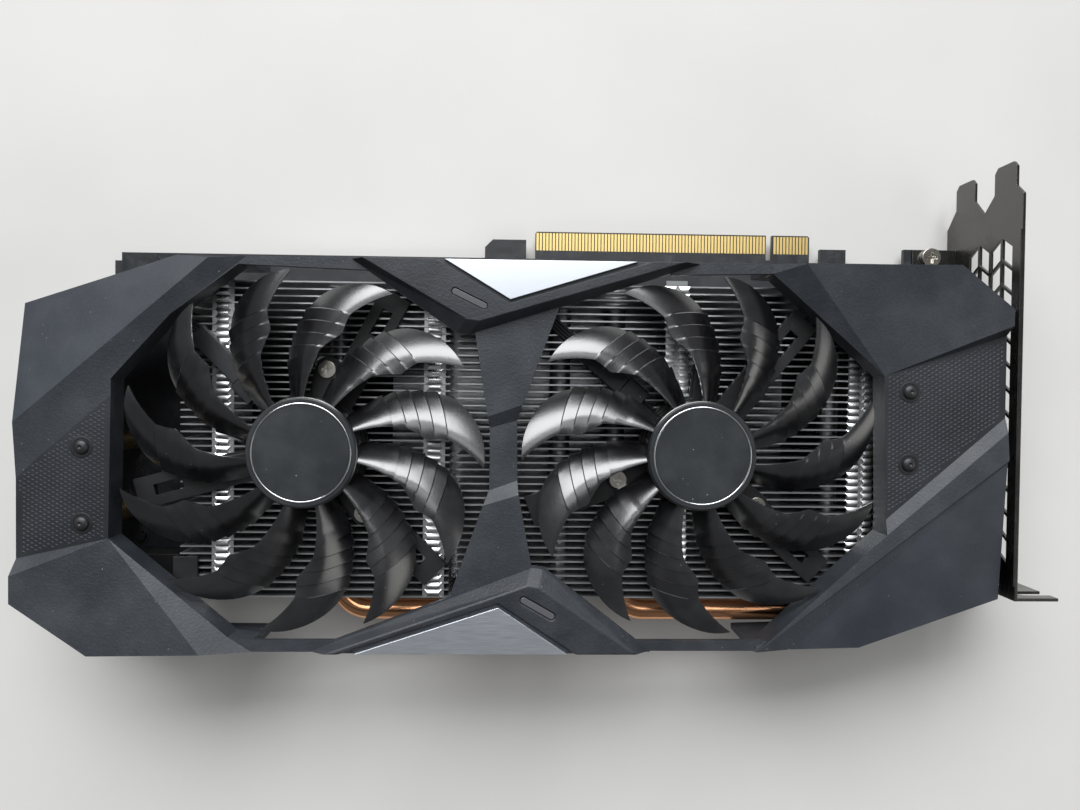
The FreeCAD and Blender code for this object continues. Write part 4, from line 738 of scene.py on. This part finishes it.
# ------------------------------------------------------------------ fans
@dataclass
class Rotor:
    """Hub, blades, cap and trim ring of one fan; lengths in millimetres.

    Attributes:
        side: left or right.
        way: +1 where the tips sweep counter-clockwise, -1 where they sweep clockwise.
        start: angle of a blade's root, in degrees.
    """

    side: str
    way: int
    start: float
    blades: int = 11
    hub: float = 14.9
    tip: float = 48.5
    sweep_linear: float = 15.6
    sweep_square: float = 12.4
    root_chord: float = 5.0
    middle_chord: float = 9.5
    tip_chord: float = 10.7
    thickness: float = 1.1
    ridges: tuple[float, ...] = (25.2, 28.6, 32.0, 35.4, 38.8)
    ridge_height: float = 0.34
    tooth: float = 0.75
    fin_centre: float = 33.4
    fin_half: float = 5.4
    fin_reach: float = 2.6
    tip_round: float = 8.5
    tip_loss: float = 0.82

    @property
    def body(self) -> str:
        """Name of the body that turns."""
        return self.side + "_fan"

    def centre(self) -> np.ndarray:
        """Axis of the fan in plan."""
        return centre_of(self.side + "_shaft")[:2]

    def sawtooth(self, radius: np.ndarray) -> np.ndarray:
        """Rises from 0 to 1 from each ridge to the next and falls back there; 0 outside the ridges."""
        pitch = self.ridges[1] - self.ridges[0]
        share = (radius - self.ridges[0] + pitch) / pitch
        last = len(self.ridges)
        return np.where((share > 0) & (share < last), share - np.floor(share), 0.0)

    def span_steps(self) -> np.ndarray:
        """Radii of the grid, with a close pair at each ridge."""
        even = np.linspace(self.hub - 0.6, self.tip - self.tip_round, 34)
        outer = self.tip - self.tip_round * (1 - np.sin(np.linspace(0, np.pi / 2, 14)))
        close = np.array([[ridge - 0.02, ridge + 0.22] for ridge in self.ridges]).ravel()
        return np.unique(np.round(np.concatenate([even, outer, close]), 4))

    def blade_grid(self) -> GridMesh:
        """One blade about the origin as a closed surface.

        The centre line turns with the radius: angle = start + way (linear t + square t^2), where t is the
        share of the way from the hub to the tip. Across the chord, v runs from the low convex edge (0) to
        the high concave edge (1), and the height grows as 1 - (1 - v)^1.5. The upper side carries the ridges
        as a sawtooth in the radius, the convex edge steps with them, the concave edge carries a small
        triangular fin, and the convex corner of the tip is rounded off.

        Returns:
            Points and quads of the blade.
        """
        low, high = low_of(self.side + "_impeller")[2], high_of(self.side + "_impeller")[2]
        radius = self.span_steps()[:, None]
        share = (radius - self.hub) / (self.tip - self.hub)
        bow = 4 * self.middle_chord - 2 * self.root_chord - 2 * self.tip_chord
        chord = self.root_chord + share * (self.tip_chord - self.root_chord) + bow * share * (1 - share)
        middle = self.start + self.way * (self.sweep_linear * share + self.sweep_square * share**2)
        growth = np.radians(self.sweep_linear + 2 * self.sweep_square * share) / (self.tip - self.hub)
        half = chord / np.cos(np.arctan(radius * growth)) / 2
        v = np.linspace(0, 1, 19)[None]
        turn = np.clip((radius - self.tip + self.tip_round) / self.tip_round, 0, 1)
        lost = self.tip_loss * (1 - np.sqrt(np.maximum(0, 1 - turn**2)))
        v = lost + (1 - lost) * v
        saw = self.sawtooth(radius)
        fin = self.fin_reach * np.maximum(0, 1 - np.abs(radius - self.fin_centre) / self.fin_half)
        across = (2 * v - 1) * half - self.tooth * saw * (1 - v) ** 4
        across = across + fin * np.clip((v - 0.7) / 0.3, 0, 1) ** 1.5
        angle = np.radians(middle) + self.way * across / radius
        belly = np.sqrt(np.maximum(0, np.sin(np.pi * np.clip(v, 0.02, 0.98))))
        thickness = self.thickness * (0.45 + 0.75 * belly)
        height = low + self.thickness / 2 + (high - low - self.thickness - 0.2) * (1 - (1 - v) ** 1.5)
        relief = self.ridge_height * (saw - 0.35 * (saw > 0))
        relief = relief * np.clip(v / 0.15, 0, 1) * np.clip((1.02 - v) / 0.3, 0, 1)
        x, y = radius * np.cos(angle), radius * np.sin(angle)
        upper = np.stack([x, y, np.minimum(height + thickness / 2 + relief, high)], axis=-1)
        lower = np.stack([x, y, np.maximum(height - thickness / 2, low)], axis=-1)
        loops = np.concatenate([upper, lower[:, ::-1]], axis=1)
        rows, columns = loops.shape[:2]
        quads = grid_quads(rows, columns, True)
        near = np.arange(columns // 2 - 1)
        cap = np.stack([near, near + 1, columns - 2 - near, columns - 1 - near], axis=-1)
        return loops.reshape(-1, 3), np.concatenate([quads, cap, cap + (rows - 1) * columns])

    def build_blades(self) -> bpy.types.Object:
        """All blades on the hub's wall."""
        points, quads = self.blade_grid()
        angle = np.arange(self.blades) * 2 * np.pi / self.blades
        cos, sin, flat = np.cos(angle), np.sin(angle), np.zeros(self.blades)
        turns = np.stack([np.stack([cos, -sin, flat], -1), np.stack([sin, cos, flat], -1),
                          np.stack([flat, flat, flat + 1], -1)], axis=1)
        centre = self.centre()
        copies = np.einsum("kij,nj->kni", turns, points) + np.array([centre[0], centre[1], 0.0])
        low, high = low_of(self.side + "_impeller")[2], high_of(self.side + "_impeller")[2]
        inner = self.hub - 1.1
        wall = [(inner, low + 0.3), (inner + 0.3, low), (self.hub - 0.4, low), (self.hub, low + 0.4),
                (self.hub, high - 0.6), (self.hub - 0.15, high - 0.2), (self.hub - 0.45, high), (2.0, high),
                (2.0, high - 1.0), (inner, high - 1.0)]
        all_points, all_quads = repeated(quads, copies)
        parts = [(all_points, all_quads.tolist()), lathe(centre, wall, 132)]
        piece = piece_from(self.side + "_blades", *fused(parts))
        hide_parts(self.side + "_impeller")
        shade(piece, 28.0)
        dress(piece, Finish.BLADE)
        return placed(piece, self.body)

    def build_cap(self) -> bpy.types.Object:
        """Flat cap with a rounded rim and the groove of its trim ring."""
        base, top = low_of(self.side + "_hub_cap")[2], high_of(self.side + "_hub_cap")[2]
        rim = self.hub - 0.4
        groove = self.hub - 1.5
        profile = [(0.0, base), (rim, base), (rim, top - 0.35), (rim - 0.1, top - 0.12), (rim - 0.3, top),
                   (groove, top), (groove, top - 0.3), (groove - 0.7, top - 0.3), (groove - 0.7, top),
                   (0.0, top)]
        piece = piece_from(self.side + "_cap", *lathe(self.centre(), profile, 144))
        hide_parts(self.side + "_hub_cap")
        shade(piece, 30.0)
        dress(piece, Finish.CAP)
        return placed(piece, self.body)

    def build_trim(self) -> bpy.types.Object:
        """Slim rounded ring let into the cap."""
        top = high_of(self.side + "_trim_ring")[2]
        outer = self.hub - 1.6
        angle = np.linspace(0, np.pi, 7)
        crest = [(outer - 0.25 + 0.25 * math.cos(a), top - 0.12 + 0.12 * math.sin(a)) for a in angle]
        profile = [(outer, top - 0.3)] + crest + [(outer - 0.5, top - 0.3)]
        piece = piece_from(self.side + "_trim", *lathe(self.centre(), profile, 144))
        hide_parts(self.side + "_trim_ring")
        shade(piece, 50.0)
        dress(piece, Finish.RING)
        return placed(piece, self.body)

    def build(self) -> None:
        """Build and dress everything that turns."""
        self.build_blades()
        self.build_cap()
        self.build_trim()


@dataclass
class MotorFrame:
    """Fixed spider and motor flange of one fan."""

    side: str

    def build(self) -> None:
        """Build and dress both pieces."""
        for node, width, slot in (("_spider", 0.5, "spider_plastic"), ("_motor_base", 0.3, "motor_plastic")):
            piece = softened_copy(self.side + node, self.side + node + "_moulding", width)
            shade(piece, 35.0, weighted=True)
            dress(piece, Finish.FRAME_PLASTIC)
            placed(piece, "card")


# ------------------------------------------------------------------ shroud
@dataclass
class Shroud:
    """Faceted shroud with its knurled panels, screws and wings; lengths in millimetres."""

    tip: float = 48.5
    stud_pitch: tuple[float, float] = (1.25, 1.02)
    stud_size: tuple[float, float] = (0.66, 0.36)
    stud_height: float = 0.24
    margin: float = 0.75
    screw_clearance: float = 3.1
    rounding: float = 0.45

    def __post_init__(self) -> None:
        """Read the places that the facets hang on."""
        self.low, self.high = low_of("shroud"), high_of("shroud")
        self.left, self.right = centre_of("left_shaft")[:2], centre_of("right_shaft")[:2]
        self.deck = low_of("upper_wing")[2]

    def left_knurl(self) -> np.ndarray:
        """Plan outline of the left knurled panel."""
        inner = polar(self.left, self.tip + 5.1, 159.1)
        return np.array([polar(self.left, self.tip + 7.3, 204.6), (inner[0], inner[1] - 4.4),
                         (self.low[0] + 4.6, self.left[1] - 2.8), (self.low[0] + 0.4, self.left[1] - 7.2),
                         (self.low[0] + 0.4, self.left[1] - 28.4)])

    def right_knurl(self) -> np.ndarray:
        """Plan outline of the right knurled panel."""
        return np.array([polar(self.right, self.tip + 6.0, 23.9), polar(self.right, self.tip + 5.1, -18.5),
                         (self.high[0] - 7.6, self.right[1] + 4.7), (self.high[0] - 0.4, self.right[1] + 10.8),
                         (self.high[0] - 0.4, self.right[1] + 33.2)])

    def smooth_facets(self) -> list[np.ndarray]:
        """Plan outlines of the two facets without grain."""
        foot = polar(self.right, self.tip + 6.6, -73.1)
        left = np.array([(self.left[0] - 24.3, self.high[1] + 1), (self.low[0] - 1, self.high[1] + 1),
                         (self.low[0] - 1, self.left[1] + 7.4)])
        right = np.array([(foot[0] + 9.0, self.low[1] - 1), (self.high[0] + 1, self.low[1] - 1),
                          (self.high[0] + 1, self.right[1] - 1.2)])
        return [left, right]

    def build_body(self) -> bpy.types.Object:
        """Rounded copy of the shroud with grain, smooth facets and knurl ground darkened as painted shade
        between the studs.
        """
        piece = softened_copy("shroud", "shroud_moulding", self.rounding, 3, 14.0)
        centres = face_centres(piece)
        index = np.zeros(len(centres), dtype=np.int32)
        top = centres[:, 2] > self.deck - 6
        for outline in self.smooth_facets():
            index[inside(outline, centres[:, :2]) & top] = 1
        for outline in (self.left_knurl(), self.right_knurl()):
            index[inside(outline, centres[:, :2]) & (centres[:, 2] > self.deck - 0.3)] = 2
        shade(piece, 40.0, weighted=True)
        dress(piece, Finish.SHROUD, Finish.SHROUD_SMOOTH, Finish.KNURL_GROUND)
        piece.data.polygons.foreach_set("material_index", index)
        return placed(piece, "card")

    def studs(self, outline: np.ndarray, slant: float, screws: np.ndarray) -> GridMesh:
        """Low four-sided studs on a slanted lattice inside an outline.

        A stud is a pyramid on a long rhombus: corners at (+-a, 0) and (0, +-b), turned by the slant, with its
        apex lifted by the stud height.

        Args:
            outline: plan outline of the panel.
            slant: direction of the studs, in degrees.
            screws: plan centres that stay clear.

        Returns:
            Points and triangles.
        """
        along, across = self.stud_pitch
        middle = outline.mean(axis=0)
        i, j = np.meshgrid(np.arange(-40, 41), np.arange(-40, 41), indexing="ij")
        tilt = math.radians(slant)
        lattice = np.stack([(i + 0.5 * (j % 2)) * along, j * across], axis=-1).reshape(-1, 2)
        turn = np.array([[math.cos(tilt), math.sin(tilt)], [-math.sin(tilt), math.cos(tilt)]])
        places = lattice @ turn + middle
        clear = np.min(np.linalg.norm(places[:, None] - screws[None], axis=2), axis=1) > self.screw_clearance
        places = places[inside(outline, places) & clear & (edge_distance(outline, places) > self.margin)]
        a, b = self.stud_size
        flat = np.array([(a, 0), (0, b), (-a, 0), (0, -b), (0, 0)]) @ turn
        rise = np.array([-0.06, -0.06, -0.06, -0.06, self.stud_height])
        shape = np.concatenate([flat, (self.deck + rise)[:, None]], axis=1)
        copies = np.repeat(shape[None], len(places), axis=0)
        copies[:, :, :2] += places[:, None]
        faces = np.array([(0, 1, 4), (1, 2, 4), (2, 3, 4), (3, 0, 4), (2, 1, 0), (3, 2, 0)])
        return repeated(faces, copies)

    def screw_places(self) -> np.ndarray:
        """Plan centres of the four shroud screws: the node's points fall in two columns of two."""
        points = node_points("shroud_screws")[:, :2]
        low, high = points.min(axis=0), points.max(axis=0)
        middle = (low + high) / 2
        groups = []
        for side in (points[:, 0] < middle[0], points[:, 0] >= middle[0]):
            column = points[side]
            split = (column[:, 1].min() + column[:, 1].max()) / 2
            groups += [column[column[:, 1] < split], column[column[:, 1] >= split]]
        return np.array([(group.min(axis=0) + group.max(axis=0)) / 2 for group in groups])

    def build_knurl(self) -> None:
        """Studs of both panels."""
        screws = self.screw_places()
        panels = (("left_knurl", self.left_knurl(), -32.0), ("right_knurl", self.right_knurl(), 32.0))
        for name, outline, slant in panels:
            piece = piece_from(name, *self.studs(outline, slant, screws), tidy=False)
            dress(piece, Finish.KNURL)
            placed(piece, "card")

    def build_screws(self) -> None:
        """Domed screws with a dimple, each in a shallow dark collar."""
        heads, collars = [], []
        deck, shank = self.deck, low_of("shroud_screws")[2]
        for place in self.screw_places():
            dome = [(1.9 * math.cos(a), deck + 0.25 + 0.95 * math.sin(a)) for a in np.linspace(0, 1.25, 9)]
            foot = [(0.0, shank), (1.3, shank), (1.3, deck), (1.9, deck)]
            dimple = [(0.35, deck + 0.9), (0.0, deck + 0.7)]
            heads.append(lathe(place, foot + dome + dimple, 40))
            ring = [(2.05, deck - 0.1), (2.9, deck - 0.1), (2.9, deck + 0.08), (2.7, deck + 0.16),
                    (2.2, deck + 0.1)]
            collars.append(lathe(place, ring, 48))
        piece = piece_from("shroud_screw_heads", *fused(heads))
        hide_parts("shroud_screws")
        shade(piece, 35.0)
        dress(piece, Finish.BLACK_SCREW)
        placed(piece, "card")
        collar = piece_from("shroud_screw_collars", *fused(collars))
        shade(collar, 35.0)
        dress(collar, Finish.FRAME_PLASTIC)
        placed(collar, "card")

    def build_trims(self) -> None:
        """Wings, inlays and slot inserts with rounded edges."""
        plan = (
            ("upper_wing", 0.5, Finish.WING, "wing_plastic"),
            ("lower_wing", 0.5, Finish.WING, "wing_plastic"),
            ("upper_inlay", 0.14, Finish.INLAY, "inlay_metal"),
            ("lower_inlay", 0.14, Finish.INLAY, "inlay_metal"),
            ("slot_inserts", 0.2, Finish.INSERT, "smoked_insert"),
        )
        for node, width, finish, slot in plan:
            piece = softened_copy(node, node + "_trim", width, 2, 14.0)
            shade(piece, 40.0, weighted=True)
            dress(piece, finish)
            placed(piece, "card")

    def build(self) -> None:
        """Build and dress the whole shroud."""
        self.build_body()
        self.build_knurl()
        self.build_screws()
        self.build_trims()


# ------------------------------------------------------------------ heatsink
@dataclass
class Heatsink:
    """Fin clips and drawn heat pipes; lengths in millimetres."""

    pitch: float = 2.0
    count: int = 45
    clip_crown: float = 0.14
    clip_thickness: float = 0.22
    pipe_bend: float = 9.0
    pipe_slack: float = 0.005

    def clip_columns(self) -> dict[str, list[tuple[float, float]]]:
        """Middle and width of each column of clips, for each stack."""
        left, right = centre_of("left_shaft")[0], centre_of("right_shaft")[0]
        return {"left_fins": [(left - 24.7, 4.4), (left + 33.9, 4.8)],
                "right_fins": [(right - 6.8, 3.4), (right - 2.9, 3.4),
                               (right + 46.0, 4.0), (right + 50.2, 3.6)]}

    def clip_shape(self, width: float) -> GridMesh:
        """Bent tab: six stations along the fin pitch, its height a half sine, its width waisted in the middle.

        Args:
            width: width of the tab at its ends.

        Returns:
            Points and quads.
        """
        step = np.linspace(0, 1, 6)
        rise = 0.42 * np.sin(np.pi * step)
        half = width / 2 * (1 - 0.34 * np.sin(np.pi * step))
        y = step * (self.pitch + 0.35)
        sides = ((-1, 0.0), (0, self.clip_crown), (1, 0.0))
        top = [np.stack([side * half, y, rise + crown], -1) for side, crown in sides]
        low = [points - np.array([0, 0, self.clip_thickness]) for points in top[::-1]]
        rings = np.stack(top + low, axis=1)
        quads = grid_quads(len(step), 6, True)
        caps = np.array([(0, 1, 4, 5), (1, 2, 3, 4)])
        return rings.reshape(-1, 3), np.concatenate([quads, caps, caps + (len(step) - 1) * 6])

    def build_clips(self) -> None:
        """Columns of clips that lock the fins together."""
        for node, columns in self.clip_columns().items():
            low, high = low_of(node), high_of(node)
            parts = []
            for middle, width in columns:
                shape, quads = self.clip_shape(width)
                rows = low[1] + np.arange(self.count - 1) * self.pitch
                copies = np.repeat(shape[None], len(rows), axis=0)
                copies[:, :, 1] += rows[:, None]
                copies[:, :, 0] += middle
                copies[:, :, 2] += high[2] + 0.16
                points, faces = repeated(quads, copies)
                parts.append((points, faces.tolist()))
            piece = piece_from(node.replace("fins", "fin_clips"), *fused(parts))
            shade(piece, 60.0)
            dress(piece, Finish.CLIPS)
            placed(piece, "card")

    def build_pipes(self) -> None:
        """Bent round pipes with closed ends."""
        for node in ("left_heat_pipe", "right_heat_pipe"):
            low, high = low_of(node), high_of(node)
            radius = (high[2] - low[2]) / 2
            z = (high[2] + low[2]) / 2
            inner_left, inner_right = self.leg_places(node, radius)
            route = np.array([(inner_left, high[1], z), (inner_left, low[1] + radius, z),
                              (inner_right, low[1] + radius, z), (inner_right, high[1], z)])
            line = rounded_route(route, self.pipe_bend, 18)
            piece = piece_from(node + "_drawn", *tube(line, radius - self.pipe_slack, 32))
            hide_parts(node)
            shade(piece, 50.0)
            dress(piece, Finish.COPPER, Finish.SOLDERED)
            # faces inside the fin stack take the grey painted shade
            in_fin_stack = face_centres(piece)[:, 1] > low_of("left_fins")[1]
            piece.data.polygons.foreach_set("material_index", in_fin_stack.astype(np.int32))
            placed(piece, "card")

    def leg_places(self, node: str, radius: float) -> tuple[float, float]:
        """X of a pipe's two legs, read where they end.

        Args:
            node: name of the pipe's node.
            radius: radius of the pipe.

        Returns:
            The lower and the higher X.
        """
        points = node_points(node)
        ends = points[points[:, 1] > points[:, 1].max() - 0.5]
        return ends[:, 0].min() + radius, ends[:, 0].max() - radius

    def build(self) -> None:
        """Build and dress the pieces."""
        self.build_clips()
        self.build_pipes()


# ------------------------------------------------------------------ board, bracket and the rest
@dataclass
class Hardware:
    """Pieces that keep the frame's shape with rounded edges, and nodes that only take a finish."""

    rounded: tuple = (
        ("bracket", 0.16, Finish.BRACKET, "bracket_steel"),
        ("bracket_screw", 0.12, Finish.SCREW, "screw_steel"),
        ("motor_screws", 0.12, Finish.SCREW, "screw_steel"),
        ("lead_covers", 0.35, Finish.COVER, "lead_cover_plastic"),
        ("heatsink_straps", 0.18, Finish.FRAME_PLASTIC, "strap_steel"),
        ("backplate", 0.25, Finish.BACKPLATE, "backplate_metal"),
        ("power_socket", 0.2, Finish.SOCKET, "socket_plastic"),
        ("fan_headers", 0.25, Finish.HEADER, "header_plastic"),
        ("display_sockets", 0.12, Finish.STEEL, "shell_steel"),
    )
    plain: tuple = (
        (Finish.FINS, ("left_fins", "right_fins")),
        (Finish.BOARD, ("circuit_board",)),
        (Finish.GOLD, ("edge_contacts",)),
        (Finish.BRASS, ("shroud_standoffs", "fan_bearings")),
        (Finish.COPPER, ("stator_coils",)),
        (Finish.BASE, ("base_plate", "cold_plate")),
        (Finish.PACKAGE, ("chip_package", "fan_boards")),
        (Finish.SILICON, ("chip_die",)),
        (Finish.CHIP, ("memory_chips", "mosfets")),
        (Finish.CHOKE, ("inductors",)),
        (Finish.PAD, ("memory_pads",)),
        (Finish.BASE, ("capacitors",)),
        (Finish.SOCKET, ("socket_tongues",)),
        (Finish.STEEL, ("power_pins", "left_rotor_yoke", "right_rotor_yoke", "left_stator", "right_stator",
                        "left_shaft", "right_shaft")),
        (Finish.MAGNET, ("left_magnet_ring", "right_magnet_ring")),
        (Finish.SCREW, ("spring_screws",)),
        (Finish.BLACK_SCREW, ("backplate_screws",)),
    )

    def build(self) -> None:
        """Build the rounded pieces and dress the plain nodes."""
        for node, width, finish, slot in self.rounded:
            piece = softened_copy(node, node + "_finished", width, 2, 20.0)
            shade(piece, 40.0, weighted=True)
            dress(piece, finish)
            placed(piece, "card")
        for finish, nodes in self.plain:
            for node in nodes:
                dress(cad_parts[node], finish)
                shade(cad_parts[node], 35.0)


@dataclass
class FanLead:
    """Four-wire fan lead that lies in its cover and turns down to the board; lengths in millimetres."""

    side: str
    wires: int = 4
    wire: float = 0.84
    bend: float = 7.0
    start_reach: float = 16.0
    lead_radius: float = 0.9

    def build(self) -> None:
        """Carry each wire along the lead's own run."""
        node = self.side + "_fan_lead"
        points = node_points(node)
        centre = centre_of(self.side + "_shaft")[:2]
        foot = points[points[:, 2] < points[:, 2].min() + 0.3][:, :2].mean(axis=0)
        reach = np.linalg.norm(foot - centre)
        out = (foot - centre) / reach
        across = np.array([-out[1], out[0]])
        top = points[:, 2].max() - self.lead_radius
        parts = []
        for i in range(self.wires):
            shift = (i - (self.wires - 1) / 2) * self.wire
            start = centre + out * self.start_reach + across * shift
            turn = centre + out * reach + across * shift
            route = np.array([(*start, top), (*turn, top), (*turn, points[:, 2].min())])
            parts.append(tube(rounded_route(route, self.bend, 12), self.wire / 2 - 0.01, 10))
        piece = piece_from(node + "_wires", *fused(parts))
        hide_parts(node)
        shade(piece, 50.0)
        dress(piece, Finish.RUBBER)
        placed(piece, "card")


# ------------------------------------------------------------------ set
@dataclass(frozen=True)
class SoftLight:
    """Rectangular soft light aimed at the card; lengths in metres, power in watts.

    Attributes:
        name: name of the light.
        place: where it hangs.
        size: its width and height.
        power: how strong it is.
        colour: tint of the light.
    """

    name: str
    place: tuple[float, float, float]
    size: tuple[float, float]
    power: float
    colour: tuple[float, float, float]

    def build(self) -> None:
        """Hang the light and turn it to the card."""
        data = bpy.data.lights.new(self.name, "AREA")
        data.shape = "RECTANGLE"
        data.size, data.size_y = self.size
        data.energy = self.power
        data.color = self.colour
        place = Vector(self.place)
        lamp = bpy.data.objects.new(self.name, data)
        lamp.matrix_world = Matrix.Translation(place) @ (-place).to_track_quat("-Z", "Y").to_matrix().to_4x4()
        bpy.context.scene.collection.objects.link(lamp)


@dataclass
class Studio:
    """Floor, soft lights and camera; the camera's place and the floor's reach are in metres.

    The lights are a broad window high on the contact side, a lit patch of ceiling and a faint fill.
    """

    lights: tuple[SoftLight, ...] = (
        SoftLight("window", (-0.4, 2.3, 2.1), (3.4, 1.8), 150.0, (0.97, 0.985, 1.0)),
        SoftLight("ceiling", (0.0, 0.75, 2.2), (1.7, 0.8), 9.0, (0.97, 0.985, 1.0)),
        SoftLight("fill", (1.5, -0.4, 0.9), (1.0, 1.0), 4.0, (1.0, 0.98, 0.95)),
    )
    room_colour: tuple[float, float, float, float] = (0.86, 0.88, 0.9, 1.0)
    room_strength: float = 0.16
    floor_reach: float = 3.0
    eye: tuple[float, float, float] = (-0.00925, 0.00345, 0.2568)
    tilt_x: float = 1.85
    tilt_y: float = -1.11
    roll: float = 0.58
    lens: float = 27.35

    def build_floor(self) -> None:
        """Wide pale ground under the card."""
        edge = self.floor_reach / MM
        low = float(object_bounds()[0][2]) / MM
        corners = np.array([(-edge, -edge, low), (edge, -edge, low), (edge, edge, low), (-edge, edge, low)])
        floor = piece_from("floor", corners, [(0, 1, 2, 3)], tidy=False)
        floor.data.materials.append(PaleFloor().make())
        floor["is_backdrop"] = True

    def build_lights(self) -> None:
        """Soft lights, the room's own light and a plain view of both."""
        for light in self.lights:
            light.build()
        world = bpy.data.worlds.new("studio")
        world.use_nodes = True
        background = world.node_tree.nodes["Background"]
        background.inputs["Color"].default_value = self.room_colour
        background.inputs["Strength"].default_value = self.room_strength
        bpy.context.scene.world = world
        bpy.context.scene.view_settings.view_transform = "Standard"

    def build_camera(self) -> None:
        """Camera almost straight above the card."""
        data = bpy.data.cameras.new("camera")
        data.sensor_width = 36.0
        data.lens = self.lens
        data.clip_start, data.clip_end = 0.01, 20.0
        x, y = math.sin(math.radians(self.tilt_x)), math.sin(math.radians(self.tilt_y))
        ahead = Vector((x, y, -math.sqrt(1 - x * x - y * y)))
        right = Vector((math.cos(math.radians(self.roll)), math.sin(math.radians(self.roll)), 0.0))
        right = (right - ahead * right.dot(ahead)).normalized()
        up = right.cross(ahead)
        camera = bpy.data.objects.new("camera", data)
        turn = Matrix((right, up, -ahead)).transposed().to_4x4()
        camera.matrix_world = Matrix.Translation(Vector(self.eye)) @ turn
        bpy.context.scene.collection.objects.link(camera)
        bpy.context.scene.camera = camera

    def build(self) -> None:
        """Build the set."""
        self.build_floor()
        self.build_lights()
        self.build_camera()


def main() -> None:
    """Build every sub-assembly in order, then the set."""
    logging.basicConfig(level=logging.INFO, format="%(name)s: %(message)s")
    rotors = [Rotor("left", -1, 32.3), Rotor("right", 1, 14.0)]
    motors = [MotorFrame("left"), MotorFrame("right")]
    leads = [FanLead("left"), FanLead("right")]
    assemblies = [Shroud(), *rotors, *motors, Heatsink(), *leads, Hardware(), Studio()]
    for assembly in assemblies:
        assembly.build()


if __name__ == "__main__":
    main()
